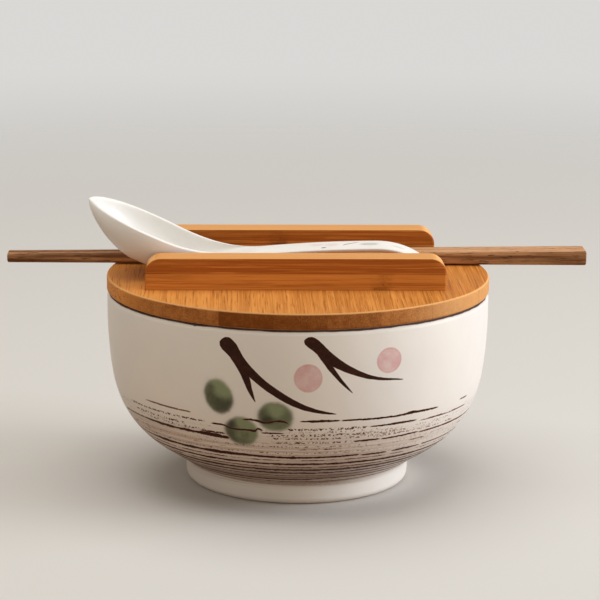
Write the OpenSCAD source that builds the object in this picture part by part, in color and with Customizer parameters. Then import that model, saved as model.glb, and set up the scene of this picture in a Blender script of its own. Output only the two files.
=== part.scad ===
// Donburi bowl with a bamboo lid. Two rails on the lid hold a soup spoon and a pair of chopsticks.
// The origin is the middle of the ring that the bowl stands on. Z points up, the rails and the
// chopsticks run along X with the handle ends at +X, and the front of the bowl faces -Y.

/* [Bowl] */
// Outside diameter of the bowl at its rim
bowl_d = 155.6; // [144:0.2:168]
// Height of the bowl without its lid
bowl_h = 78.8; // [70:0.2:88]
// Thickness of the glazed wall, which is also the width of the rim
wall_t = 4.5; // [3.6:0.1:5.6]
// Thickness of the floor over the hollow of the foot
floor_t = 5.5; // [4:0.1:7.5]
// Slope of the flare where it leaves the foot, in degrees above level
flare_slope = 34.3; // [28:0.1:42]

/* [Foot] */
// Outside diameter of the foot where it meets the flare
foot_d = 92; // [82:0.5:102]
// Height at which the foot meets the flare
foot_h = 9.3; // [7.5:0.1:12]
// How much narrower the foot is at the bottom, on each side
foot_taper = 0.4; // [0:0.1:1.5]
// Radius of the rounded lower edge of the foot
foot_edge_r = 3.1; // [1.5:0.1:4]
// Width of the flat ring that the bowl stands on
foot_land_w = 3.4; // [2:0.1:5]
// Height of the hollow inside the foot
foot_hollow_h = 4.6; // [2.5:0.1:6]
// Radius of the soft line of glaze between the foot and the flare
foot_fillet_r = 2.6; // [1:0.1:4]

/* [Lid] */
// How far the lid reaches past the rim of the bowl
lid_overhang = 0.2; // [0:0.1:3]
// Thickness of the lid where its edge shows
lid_t = 6.5; // [5:0.1:9]
// Depth of the step under the lid that drops into the bowl
plug_h = 5; // [4.6:0.1:7]
// Room between the step and the wall of the bowl
plug_clearance = 1.1; // [0.8:0.1:2]
// Radius of the eased edges of the lid
lid_edge_r = 1.1; // [0.5:0.1:2]

/* [Seal] */
// Height of the groove that holds the silicone ring
groove_h = 3.2; // [2.6:0.1:3.6]
// Depth of that groove
groove_depth = 2.2; // [1.6:0.1:3]
// Thickness of each lip of the ring
lip_t = 0.7; // [0.5:0.05:0.9]

/* [Rails] */
// Thickness of each rail, front to back
rail_w = 11; // [9:0.1:14]
// Height of each rail above the lid
rail_h = 13; // [11:0.1:16]
// How far the outer corners of the rails stay inside the edge of the lid
rail_inset = 9.7; // [6:0.1:18]
// How far both rails sit off the middle of the lid, to the left
rail_shift = 1.8; // [0:0.1:4]
// Radius of the rounded top corner at each end of a rail
rail_corner_r = 6.5; // [3:0.1:9]
// Width of the eased edges of a rail
rail_ease = 0.8; // [0.3:0.1:1.5]
// Room beside the spoon where it lies between the front rail and the chopsticks
spoon_play = 1.3; // [0.5:0.1:4]

/* [Screws] */
// Diameter of the wood screws that hold the rails
screw_d = 3.5; // [3:0.1:4]
// Diameter of their countersunk heads
screw_head_d = 7; // [6.4:0.1:8]
// How far a screw reaches into its rail
screw_bite = 8; // [5:0.1:9]

/* [Spoon] */
// Width of the spoon across its bowl
spoon_w = 45; // [40:0.2:50]
// Depth of the spoon under its rim
spoon_depth = 14.2; // [12:0.1:17]
// Thickness of the spoon's wall
spoon_t = 2.2; // [1.8:0.1:2.6]
// Width of the handle
handle_w = 15; // [12:0.1:18]
// Depth of the handle from its edges to its underside
handle_depth = 2; // [1.6:0.1:4.6]
// How far the rounded top of the handle rises over its edges
handle_crown = 1.5; // [0.8:0.1:2.4]
// Length of the level part of the spoon's bowl, from its tip
bowl_run = 37; // [32:0.2:42]
// Length over which the bowl narrows and bends up into the handle
neck_run = 38.6; // [33:0.2:43]
// Length of the nearly straight handle
handle_run = 45.2; // [40:0.2:53]
// Length of the hooked tail
tail_run = 27.6; // [24:0.2:32]
// Bend of the neck, in degrees upwards
neck_turn = 29.3; // [25:0.1:34]
// Bend along the handle, in degrees downwards
handle_turn = 4.8; // [2:0.1:8]
// Bend of the tail, in degrees downwards
tail_turn = 48.4; // [42:0.1:54]
// How far the spoon's tip reaches past the ends of the rails
spoon_reach = 23.3; // [16:0.1:30]
// How far the spoon leans on its side, far edge up, in degrees
spoon_roll = 0.7; // [0:0.1:3]

/* [Chopsticks] */
// Length of a chopstick
stick_l = 240; // [220:1:260]
// Thickness at the eating end
stick_tip_d = 4.15; // [3.6:0.05:5]
// Thickness at the handle end
stick_end_d = 6.3; // [5.6:0.05:7.5]
// Roundness of the handle end: 2 is a circle, a larger number is squarer
stick_squareness = 4.5; // [2.5:0.1:6]

/* [Hidden] */

// Room under a loose piece and between two that lie together, and round a piece that fits in another
seat_gap = 0.2;
fit_gap = 0.1;
// Room between the lips of the silicone ring and the bowl
lip_gap = 0.3;
// Overrun of every cut past the face that it opens
overrun = 0.5;
// Facets of a full turn, of an eased edge and of a longer arc
turn_steps = 120;
edge_steps = 6;
arc_steps = 12;

// The belly of the bowl before it is fitted between foot and rim: a straight flare, arcs with their
// radius as a share of the belly's height and the slope in degrees at which each ends, an upright band
belly_arc_shares = [[0.576, 70], [0.791, 82], [2.59, 90]];
flare_share = 0.1755;
upright_share = 0.081;
// Inside of the foot: its draft, and the fillet under the floor, as shares of the hollow's height
hollow_draft_share = 0.3;
hollow_fillet_share = 0.4;
// Chamfer of the plug's lower edge, as a share of the land under the groove
plug_chamfer_share = 0.5;
// Section of the silicone ring: its back as a share of the groove's depth, its lips as shares of its height
seal_back_share = 0.75;
lip_place_shares = [0.28, 0.72];
lip_rise_share = 0.12;
// Screws: places as shares of the rail's half length, then sunk head, tip, pilot and cross slot
screw_place_shares = [-0.6, 0.6];
head_sink_share = 0.06;
screw_tip_share = 1;
pilot_share = 1.15;
slot_width_share = 0.16;
slot_length_share = 0.6;
slot_depth_share = 0.45;
// The spoon: places as shares of its level part, its neck and its tail, and the powers of its curves
widest_share = 0.757;
prow_share = 0.676;
heel_share = 1.03;
neck_share = 0.95;
tail_round_share = 0.43;
plan_powers = [2.4, 1.6];
prow_powers = [1.5, 1.35];
section_power = 2.6;
crown_share = 0.3;
// How closely the spoon's rings crowd at both ends, and the share of its first ring
crowding_share = 0.75;
first_ring_share = 0.003;
// Rings along the spoon, steps across it, and halvings of the search for its resting tilt
spoon_rings = 56;
spoon_steps = 14;
tilt_range = [5, 50];
tilt_halvings = 16;
// Where the sticks pass the spoon's heel, and the chamfer of their ends, as shares
heel_stick_share = 0.29;
stick_chamfer_share = 0.18;
stick_ring_shares = [0, 0.25, 0.5, 0.75, 1];
stick_steps = 24;

bowl_r = bowl_d / 2;
foot_r = foot_d / 2;
rim_r = wall_t / 2;
mouth_r = bowl_r - wall_t;
floor_z = foot_hollow_h + floor_t;
lid_z = bowl_h + seat_gap;
lid_top_z = lid_z + lid_t;
lid_r = bowl_r + lid_overhang;
plug_r = mouth_r - plug_clearance;
plug_z = lid_z - plug_h;
plug_land = (plug_h - groove_h) / 2;
groove_z = plug_z + plug_land;
groove_r = plug_r - groove_depth;

// A step from the middle of a circle to its edge, at an angle
function on_circle(r, a) = r * [cos(a), sin(a)];

// Points of an arc about a centre, from one angle to another
function arc(c, r, a0, a1, steps) = [
    for (i = [0 : steps])
        c + on_circle(r, a0 + (a1 - a0) * i / steps)
];

// A list without its first and its last entries
function inner(list) = [
    for (i = [1 : len(list) - 2])
        list[i]
];

// A list from its end to its start
function backwards(list) = [
    for (i = [len(list) - 1 : -1 : 0])
        list[i]
];

// Running sums of a list, starting at zero
function sums(list, i = 0, sum = 0) =
    i == len(list)
        ? [sum]
        : concat([sum], sums(list, i + 1, sum + list[i]));

// A share between 0 and 1
function share(s) = max(0, min(1, s));

// A smooth step from one value to another as the share runs from 0 to 1
function ease(from, to, s) = from + (to - from) * (1 - cos(180 * share(s))) / 2;

// The superellipse point at an angle, as shares of its half width and its depth
function squared(a, power) = [
    sign(cos(a)) * pow(abs(cos(a)), 2 / power),
    sign(sin(a)) * pow(abs(sin(a)), 2 / power)
];

// A solid through rings of equal length, with the given faces over its two ends
module loft(rings, cap) {
    n = len(rings[0]);
    last = (len(rings) - 1) * n;
    sides = [
        for (i = [0 : len(rings) - 2], k = [0 : n - 1])
            let (a = i * n + k, b = i * n + (k + 1) % n)
                each [[a, a + n, b], [b, a + n, b + n]]
    ];
    start = cap;
    end = [
        for (face = cap)
            [for (k = backwards(face)) last + k]
    ];
    points = [
        for (ring = rings)
            each ring
    ];
    polyhedron(points = points, faces = concat(sides, start, end), convexity = 4);
}

// BOWL

// The belly's arcs, each starting where the last one ended
function belly_arcs(p, i = 0) =
    i == len(belly_arc_shares)
        ? []
        : let (
              r = belly_arc_shares[i][0],
              a0 = i == 0 ? flare_slope : belly_arc_shares[i - 1][1],
              a1 = belly_arc_shares[i][1],
              points = arc(p - on_circle(r, a0 - 90), r, a0 - 90, a1 - 90, arc_steps)
          )
          concat([for (k = [1 : arc_steps]) points[k]], belly_arcs(points[arc_steps], i + 1));

// The belly's outside from the foot to the rim, fitted to the bowl's sizes
function belly() =
    let (
        flare = flare_share * [1, tan(flare_slope)],
        arcs = belly_arcs(flare),
        top = arcs[len(arcs) - 1] + [0, upright_share],
        size = [bowl_r - foot_r, bowl_h - rim_r - foot_h]
    )
    [
        for (p = concat([[0, 0], flare], arcs, [top]))
            [foot_r + size[0] * p[0] / top[0], foot_h + size[1] * p[1] / top[1]]
    ];

// The direction of a line of points at one of them
function direction(points, i) =
    let (d = points[min(len(points) - 1, i + 1)] - points[max(0, i - 1)])
        d / norm(d);

// The same line moved inwards by the wall
function wall_inside(points, first) = [
    for (i = [first : len(points) - 1])
        let (d = direction(points, i))
            points[i] + wall_t * [-d[1], d[0]]
];

// The inside of the floor: a power curve that leaves the middle level and meets the wall at its slope
function floor_inside(p, d) =
    let (power = d[1] / d[0] * p[0] / (p[1] - floor_z))
        [
            for (i = [1 : arc_steps])
                let (s = 1 - i / arc_steps)
                    [p[0] * s, floor_z + (p[1] - floor_z) * pow(s, power)]
        ];

// The foot from the middle of its hollow, under the standing ring and up to the flare
function foot(flare_a) =
    let (
        low_r = foot_r - foot_taper,
        land_r = low_r - foot_edge_r - foot_land_w,
        fillet = hollow_fillet_share * foot_hollow_h,
        corner = [land_r - hollow_draft_share * foot_hollow_h - fillet, foot_hollow_h - fillet],
        reach = foot_fillet_r * tan((90 - flare_a) / 2)
    )
    concat(
        [[0, foot_hollow_h]],
        arc(corner, fillet, 90, 0, edge_steps),
        [[land_r, 0]],
        arc([low_r - foot_edge_r, foot_edge_r], foot_edge_r, -90, 0, edge_steps),
        arc([foot_r + foot_fillet_r, foot_h - reach], foot_fillet_r, 180, 90 + flare_a, edge_steps)
    );

module bowl() {
    outside = belly();
    inside = wall_inside(outside, 1);
    flare = direction(outside, 0);
    color("ivory")
        rotate_extrude($fn = turn_steps)
            polygon(
                concat(
                    foot(atan2(flare[1], flare[0])),
                    inner(outside),
                    arc([bowl_r - rim_r, bowl_h - rim_r], rim_r, 0, 180, 2 * edge_steps),
                    backwards([for (i = [0 : len(inside) - 2]) inside[i]]),
                    floor_inside(inside[0], direction(outside, 1))
                )
            );
}

// LID

// Everything on the lid that repeats for the two screws of a rail
module at_screws(rail_y) {
    for (s = screw_place_shares)
        translate([s * rail_l / 2 - rail_shift, rail_y, 0])
            children();
}

// The countersunk seat and the clearance hole of a screw
module screw_hole() {
    head_r = screw_head_d / 2 + fit_gap;
    hole_r = screw_d / 2 + fit_gap;
    sink = head_sink_share * screw_head_d;
    translate([0, 0, plug_z - overrun])
        cylinder(h = sink + overrun, r = head_r, $fn = turn_steps / 2);
    translate([0, 0, plug_z + sink])
        cylinder(h = head_r - hole_r, r1 = head_r, r2 = hole_r, $fn = turn_steps / 2);
    translate([0, 0, plug_z + sink])
        cylinder(h = plug_h + lid_t, r = hole_r, $fn = turn_steps / 2);
}

module lid_panel() {
    chamfer = plug_chamfer_share * plug_land;
    edge_x = lid_r - lid_edge_r;
    color("peru")
        difference() {
            rotate_extrude($fn = turn_steps)
                polygon(
                    concat(
                        [[0, plug_z], [plug_r - chamfer, plug_z], [plug_r, plug_z + chamfer]],
                        [[plug_r, groove_z], [groove_r, groove_z]],
                        [[groove_r, groove_z + groove_h], [plug_r, groove_z + groove_h], [plug_r, lid_z]],
                        arc([edge_x, lid_z + lid_edge_r], lid_edge_r, -90, 0, edge_steps),
                        arc([edge_x, lid_top_z - lid_edge_r], lid_edge_r, 0, 90, edge_steps),
                        [[0, lid_top_z]]
                    )
                );
            for (y = [front_rail_y, rear_rail_y])
                at_screws(y)
                    screw_hole();
        }
}

// One lip of the silicone ring, from its root on the ring's back to its rounded end at the bowl
function lip(root, z) =
    let (tip = mouth_r - lip_gap, rise = lip_rise_share * groove_h)
        [
            [root, z - lip_t / 2],
            [tip - lip_t / 2, z + rise - lip_t / 2],
            [tip, z + rise],
            [tip - lip_t / 2, z + rise + lip_t / 2],
            [root, z + lip_t / 2]
        ];

module lid_seal() {
    back_r = groove_r + fit_gap;
    root_r = groove_r + seal_back_share * groove_depth;
    low_z = groove_z + fit_gap;
    high_z = groove_z + groove_h - fit_gap;
    color("whitesmoke")
        rotate_extrude($fn = turn_steps)
            polygon(
                concat(
                    [[back_r, low_z], [root_r, low_z]],
                    [for (s = lip_place_shares) each lip(root_r, low_z + s * (high_z - low_z))],
                    [[root_r, high_z], [back_r, high_z]]
                )
            );
}

// RAILS

// Outline of a rail seen from the front, with its ends and its top drawn in by some ease
module rail_outline(drawn_in) {
    x = rail_l / 2 - drawn_in;
    z = rail_h - drawn_in;
    r = rail_corner_r - drawn_in;
    polygon(
        concat(
            [[-x, 0], [x, 0]],
            arc([x - r, z - r], r, 0, 90, edge_steps),
            arc([r - x, z - r], r, 90, 180, edge_steps)
        )
    );
}

// One rail standing on the lid, with blind pilot holes for its screws
module rail(y) {
    pilot_r = screw_d / 2 + fit_gap;
    pilot_h = pilot_share * screw_bite;
    difference() {
        translate([-rail_shift, y, lid_top_z])
            rotate([90, 0, 0])
                hull() {
                    linear_extrude(height = rail_w - 2 * rail_ease, center = true)
                        rail_outline(0);
                    linear_extrude(height = rail_w, center = true)
                        rail_outline(rail_ease);
                }
        at_screws(y)
            translate([0, 0, lid_top_z - overrun])
                cylinder(h = overrun + pilot_h, r = pilot_r, $fn = turn_steps / 2);
    }
}

module front_rail() {
    color("chocolate")
        rail(front_rail_y);
}

module rear_rail() {
    color("chocolate")
        rail(rear_rail_y);
}

// SCREWS

// One countersunk wood screw, head down under the lid, with a cross slot and a pointed end
module screw() {
    head_r = screw_head_d / 2;
    shank_r = screw_d / 2;
    head_z = plug_z + head_sink_share * screw_head_d;
    tip_h = screw_tip_share * screw_d;
    neck_z = head_z + head_r - shank_r;
    shank_z = lid_top_z + screw_bite - tip_h;
    slot_h = slot_depth_share * (head_r - shank_r);
    slot = [slot_length_share * screw_head_d, slot_width_share * screw_head_d, slot_h + overrun];
    difference() {
        union() {
            translate([0, 0, head_z])
                cylinder(h = neck_z - head_z, r1 = head_r, r2 = shank_r, $fn = turn_steps / 2);
            translate([0, 0, neck_z])
                cylinder(h = shank_z - neck_z, r = shank_r, $fn = turn_steps / 2);
            translate([0, 0, shank_z])
                cylinder(h = tip_h, r1 = shank_r, r2 = 0, $fn = turn_steps / 2);
        }
        for (a = [0, 90])
            translate([0, 0, head_z + (slot_h - overrun) / 2])
                rotate([0, 0, a])
                    cube(slot, center = true);
    }
}

module front_rail_screws() {
    color("silver")
        at_screws(front_rail_y)
            screw();
}

module rear_rail_screws() {
    color("silver")
        at_screws(rear_rail_y)
            screw();
}

// SPOON
// Its spine is a chain of arcs that starts level at the tip. Its section under the rim is a
// superellipse, and the inside repeats the outside's formulas, drawn in by the wall. Along the neck
// the hollow runs out, and an elliptical crown takes its place on top of the handle.

spoon_runs = [bowl_run, neck_run, handle_run, tail_run];
spoon_turns = [0, neck_turn, -handle_turn, -tail_turn];
spoon_places = sums(spoon_runs);
spoon_slopes = sums(spoon_turns);
spoon_l = spoon_places[len(spoon_runs)];
widest_at = widest_share * bowl_run;
prow_at = prow_share * bowl_run;
heel_at = heel_share * bowl_run;
neck_at = bowl_run + neck_share * neck_run;
tail_round = tail_round_share * tail_run;

// The point reached after a way s along a run that starts at p and turns evenly
function bend(p, slope, turn, run, s) =
    let (a = slope + turn * s / run)
        turn == 0
            ? p + on_circle(s, slope)
            : p + run * 180 / (PI * turn) * [sin(a) - sin(slope), cos(slope) - cos(a)];

// The point on run i at a way s from its start p
function on_run(i, p, s) = bend(p, spoon_slopes[i], spoon_turns[i], spoon_runs[i], s);

// The points where the runs of the spine meet
function spine_points(i = 0, p = [0, 0]) =
    i == len(spoon_runs)
        ? [p]
        : concat([p], spine_points(i + 1, on_run(i, p, spoon_runs[i])));

spine = spine_points();

// The run of the spine that holds a place t
function run_at(t, i = 0) =
    i == len(spoon_runs) - 1 || t <= spoon_places[i + 1]
        ? i
        : run_at(t, i + 1);

// A power curve from 0 at the tip to 1 at its reach
function front_share(t, reach, inset, powers) =
    pow(1 - pow(1 - share((t - inset) / (reach - inset)), powers[0]), 1 / powers[1]);

// Half the spoon's width at t, drawn in by an inset
function half_width(t, inset) =
    let (
        w = spoon_w / 2 - inset,
        h = handle_w / 2 - inset,
        back = ease(w, h, (t - widest_at) / (neck_at - widest_at))
    )
    t < widest_at
        ? w * front_share(t, widest_at, inset, plan_powers)
        : back * tail_taper(t, inset);

// How far the place t is on the way from the spoon's bowl, 0, to its handle, 1
function on_handle(t) = ease(0, 1, (t - heel_at) / (neck_at - heel_at));

// Depth of the spoon under its rim at t, drawn in by an inset. The inside has no depth on the handle.
function depth_at(t, inset) =
    let (
        d = spoon_depth - inset,
        h = inset == 0 ? handle_depth : 0,
        back = d + (h - d) * on_handle(t)
    )
    t < prow_at
        ? d * front_share(t, prow_at, inset, prow_powers)
        : back * sqrt(tail_taper(t, inset));

// Share of the width that is left on the rounded end of the tail
function tail_taper(t, inset) = sqrt(1 - pow(1 - share((spoon_l - inset - t) / (tail_round - inset)), 2));

// A point of the section at t: y across, d down from the rim
function section_point(t, y, d) =
    let (
        i = run_at(t),
        s = t - spoon_places[i],
        p = on_run(i, spine[i], s),
        a = spoon_slopes[i] + spoon_turns[i] * s / spoon_runs[i]
    )
    [p[0] + d * sin(a), y, p[1] - d * cos(a)];

// One half of a ring, from the near edge under the spoon to the far edge
function half_ring(t, inset) = [
    for (k = [0 : spoon_steps])
        let (s = squared(180 * k / spoon_steps, section_power))
            section_point(t, -s[0] * half_width(t, inset), s[1] * depth_at(t, inset))
];

// A point over the edges of the section at t, raised by the crown of the handle
function crowned(t, p) =
    let (y = p[1] / half_width(t, 0))
        p + [0, 0, on_handle(t) * handle_crown * sqrt(tail_taper(t, 0) * max(0, 1 - y * y))];

// A whole ring: outside, far edge, inside and near edge, with rounded edges that end where the crown starts
function spoon_ring(t, t_in) =
    let (
        outside = half_ring(t, 0),
        inside = half_ring(t_in, spoon_t),
        round = [0, 0, (1 - on_handle(t)) * crown_share * spoon_t],
        far = (outside[spoon_steps] + inside[spoon_steps]) / 2 + round,
        near = (outside[0] + inside[0]) / 2 + round,
        top = [
            for (p = concat([far], backwards(inside), [near]))
                crowned(t, p)
        ]
    )
    concat(outside, top);

// Turns a point of the spoon to the way it lies: leaning on its side, then tipped back on its heel
function tipped(p, tilt) =
    let (
        y = p[1] * cos(spoon_roll) - p[2] * sin(spoon_roll),
        z = p[1] * sin(spoon_roll) + p[2] * cos(spoon_roll)
    )
    [p[0] * cos(tilt) + z * sin(tilt), y, z * cos(tilt) - p[0] * sin(tilt)];

// The lowest height that a list of points reaches at a tilt
function lowest(points, tilt) = min([
    for (p = points)
        tipped(p, tilt)[2]
]);

// The tilt at which the heel and the tail both touch the lid, found by halving the range
function resting_tilt(heel, tail, low, high, halvings) =
    let (mid = (low + high) / 2)
        halvings == 0
            ? mid
            : lowest(heel, mid) < lowest(tail, mid)
                ? resting_tilt(heel, tail, mid, high, halvings - 1)
                : resting_tilt(heel, tail, low, mid, halvings - 1);

// Places of the rings, crowded towards the tip and the tail where the outline turns fastest
ring_places = [
    for (i = [0 : spoon_rings])
        let (s = first_ring_share + (1 - 2 * first_ring_share) * i / spoon_rings)
            spoon_l * (s - crowding_share * sin(360 * s) / (2 * PI))
];
level_rings = [
    for (t = ring_places)
        spoon_ring(t, spoon_t + t * (spoon_l - 2 * spoon_t) / spoon_l)
];
heel_points = [
    for (i = [0 : spoon_rings])
        if (ring_places[i] < neck_at) each level_rings[i]
];
tail_points = [
    for (i = [0 : spoon_rings])
        if (ring_places[i] > neck_at) each level_rings[i]
];
spoon_tilt = resting_tilt(heel_points, tail_points, tilt_range[0], tilt_range[1], tilt_halvings);
spoon_low = lowest(concat(heel_points, tail_points), spoon_tilt);
// The spoon as it lies, with its tip at x = 0, its middle at y = 0 and its lowest point at z = 0
lying_rings = [
    for (ring = level_rings)
        [
            for (p = ring)
                tipped(p, spoon_tilt) - [0, 0, spoon_low]
        ]
];
lying_points = [
    for (ring = lying_rings)
        each ring
];

// CHOPSTICKS AND THE CHANNEL BETWEEN THE RAILS
// From front to rear the channel holds the spoon, then the two chopsticks side by side.

heel_stick_d = stick_tip_d + (stick_end_d - stick_tip_d) * heel_stick_share;
// The spoon's reach towards the front rail, below the rail's top, and towards the sticks, below theirs
spoon_near = max([
    for (p = lying_points)
        if (p[0] > spoon_reach && p[2] < rail_h) -p[1]
]);
spoon_far = max([
    for (p = lying_points)
        if (p[2] < heel_stick_d + seat_gap) p[1]
]);
channel_w = spoon_near + spoon_far + 2 * (spoon_play + heel_stick_d + seat_gap);
front_rail_y = -(channel_w + rail_w) / 2;
rear_rail_y = (channel_w + rail_w) / 2;
rail_l = 2 * (sqrt(pow(lid_r, 2) - pow(channel_w / 2 + rail_w, 2)) - rail_inset);
spoon_place = [
    -rail_shift - rail_l / 2 - spoon_reach,
    spoon_play + spoon_near - channel_w / 2,
    lid_top_z + seat_gap
];

module spoon() {
    m = spoon_steps;
    across = [
        for (k = [0 : m - 1])
            [k, k + 1, 2 * m + 1 - k, 2 * m + 2 - k]
    ];
    edges = [[m, m + 1, m + 2], [2 * m + 2, 2 * m + 3, 0]];
    color("white")
        translate(spoon_place)
            loft(lying_rings, concat(across, edges));
}

// A chopstick with its flat side down on the lid, a number of sticks in front of the rear rail
module chopstick(sticks_behind) {
    n = stick_steps;
    places = [
        for (s = stick_ring_shares)
            s * stick_l
    ];
    chamfer = stick_chamfer_share * stick_tip_d;
    // Rows of place, thickness share: the ends are chamfered
    rows = concat(
        [[0, 1 - stick_chamfer_share], [chamfer, 1]],
        [for (x = inner(places)) [x, 1]],
        [[stick_l - chamfer, 1], [stick_l, 1 - stick_chamfer_share]]
    );
    rings = [
        for (row = rows)
            let (
                s = row[0] / stick_l,
                d = stick_tip_d + (stick_end_d - stick_tip_d) * s,
                power = 2 + (stick_squareness - 2) * s,
                y = channel_w / 2 - (seat_gap + d) * sticks_behind - seat_gap - d / 2,
                z = lid_top_z + seat_gap + d / 2
            )
            [
                for (k = [0 : n - 1])
                    let (q = squared(360 * k / n, power) * row[1] * d / 2)
                        [row[0] - stick_l / 2, y + q[0], z + q[1]]
            ]
    ];
    loft(rings, [[for (k = [0 : n - 1]) k]]);
}

module front_chopstick() {
    color("saddlebrown")
        chopstick(1);
}

module rear_chopstick() {
    color("saddlebrown")
        chopstick(0);
}

bowl();
lid_panel();
lid_seal();
front_rail();
rear_rail();
front_rail_screws();
rear_rail_screws();
spoon();
front_chopstick();
rear_chopstick();
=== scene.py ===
import logging
import math
from dataclasses import dataclass
from enum import Enum
from functools import reduce
from operator import or_
from typing import Callable, Union

import bmesh
import bpy
import numpy as np
from mathutils import Matrix, Vector


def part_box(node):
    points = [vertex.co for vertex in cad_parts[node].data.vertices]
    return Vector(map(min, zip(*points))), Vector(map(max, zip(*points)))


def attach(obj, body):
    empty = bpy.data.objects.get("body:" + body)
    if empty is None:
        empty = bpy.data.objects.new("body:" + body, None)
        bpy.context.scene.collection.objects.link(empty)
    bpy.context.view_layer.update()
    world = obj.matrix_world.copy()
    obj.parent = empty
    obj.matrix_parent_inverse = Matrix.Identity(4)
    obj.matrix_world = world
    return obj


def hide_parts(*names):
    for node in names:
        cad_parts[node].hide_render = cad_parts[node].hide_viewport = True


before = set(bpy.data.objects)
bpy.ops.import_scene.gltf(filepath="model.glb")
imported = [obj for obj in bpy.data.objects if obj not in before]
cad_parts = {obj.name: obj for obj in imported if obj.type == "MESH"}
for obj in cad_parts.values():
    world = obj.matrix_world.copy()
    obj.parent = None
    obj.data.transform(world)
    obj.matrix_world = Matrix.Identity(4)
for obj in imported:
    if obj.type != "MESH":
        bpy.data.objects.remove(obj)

log = logging.getLogger("donburi")

MM = 0.001
Pair = tuple[float, float]
Triple = tuple[float, float, float]
Colour = tuple[float, float, float]
Curve = tuple[Pair, ...]
Value = Union["Wire", float]
Maybe = Union["Wire", None]


class Side(Enum):
    """Which of a pair a piece is."""

    FRONT = "front"
    REAR = "rear"


class Grain(Enum):
    """The way in which the fibres of a wooden piece run, as the order of its axes: along, across and up."""

    ALONG_X = (0, 1, 2)
    ALONG_Y = (1, 0, 2)


def ease(start: float, stop: float, share: np.ndarray) -> np.ndarray:
    """Half a cosine wave from start to stop, over a share that is kept between 0 and 1."""
    return start + (stop - start) * (1 - np.cos(np.pi * np.clip(share, 0, 1))) / 2


def arc(centre: Pair, radius: float, first: float, last: float, steps: int) -> np.ndarray:
    """Points of a circle's arc, centre + radius * (cos a, sin a), for even angles a from first to last in degrees."""
    angle = np.radians(np.linspace(first, last, steps + 1))
    return np.stack([centre[0] + radius * np.cos(angle), centre[1] + radius * np.sin(angle)], axis=1)


def squared(angle: np.ndarray, power: Union[float, np.ndarray]) -> tuple[np.ndarray, np.ndarray]:
    """Superellipse: cos and sin are raised to 2 / power and keep their signs, so a power over 2 is squarer."""
    across, up = np.cos(angle), np.sin(angle)
    return np.sign(across) * np.abs(across) ** (2 / power), np.sign(up) * np.abs(up) ** (2 / power)


def grid_quads(rows: int, columns: int, first: int = 0, joins: tuple[bool, bool] = (False, True)) -> np.ndarray:
    """Quads between the points of a grid, row after row.

    Args:
        rows: number of rows of points.
        columns: number of points in a row.
        first: index of the grid's first point.
        joins: whether the last row joins the first, and the last column the first.

    Returns:
        An array of four indices a quad.
    """
    row, column = np.meshgrid(np.arange(rows - 1 + joins[0]), np.arange(columns - 1 + joins[1]), indexing="ij")
    here, ahead, beside = row * columns, (row + 1) % rows * columns, (column + 1) % columns
    return np.stack([here + column, here + beside, ahead + beside, ahead + column], axis=-1).reshape(-1, 4) + first


def revolve(profile: np.ndarray, steps: int) -> tuple[np.ndarray, np.ndarray]:
    """Surface of revolution: each profile point (r, z) goes to (r cos a, r sin a, z) for every angle a.

    Args:
        profile: points of radius and height.
        steps: facets of a full turn.

    Returns:
        The points and the quads.
    """
    angle = np.linspace(0, 2 * np.pi, steps, endpoint=False)
    radius, height = profile[:, :1], profile[:, 1:]
    points = np.stack([radius * np.cos(angle), radius * np.sin(angle), np.repeat(height, steps, axis=1)], axis=-1)
    return points.reshape(-1, 3), grid_quads(len(profile), steps)


def closed_mesh(name: str, points: np.ndarray, faces: list) -> bpy.types.Mesh:
    """Makes a mesh with its poles closed and its faces turned outwards.

    Args:
        name: its name.
        points: its points, in millimetres.
        faces: lists of indices.

    Returns:
        The mesh, in metres.
    """
    mesh = bpy.data.meshes.new(name)
    mesh.from_pydata((points * MM).tolist(), [], faces)
    work = bmesh.new()
    work.from_mesh(mesh)
    bmesh.ops.remove_doubles(work, verts=work.verts, dist=1e-6)
    bmesh.ops.recalc_face_normals(work, faces=work.faces)
    work.to_mesh(mesh)
    work.free()
    return mesh


def put(name: str, data: bpy.types.ID) -> bpy.types.Object:
    """Puts a mesh, a lamp or a camera into the scene, as an object."""
    bpy.context.scene.collection.objects.link(made := bpy.data.objects.new(name, data))
    return made


def dim(colour: Colour, share: float) -> Colour:
    """A colour at a share of its brightness."""
    return tuple(channel * share for channel in colour)


def operator(operation: str, swapped: bool = False) -> Callable[..., "Wire"]:
    """Makes a method of Wire that adds one Math node.

    Args:
        operation: the node's operation.
        swapped: whether the other value stands on the left.

    Returns:
        The method.
    """

    def method(self: "Wire", other: Value = 0.0) -> "Wire":
        """Adds the Math node."""
        return self.math(operation, *((other, self) if swapped else (self, other)))

    return method


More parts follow.
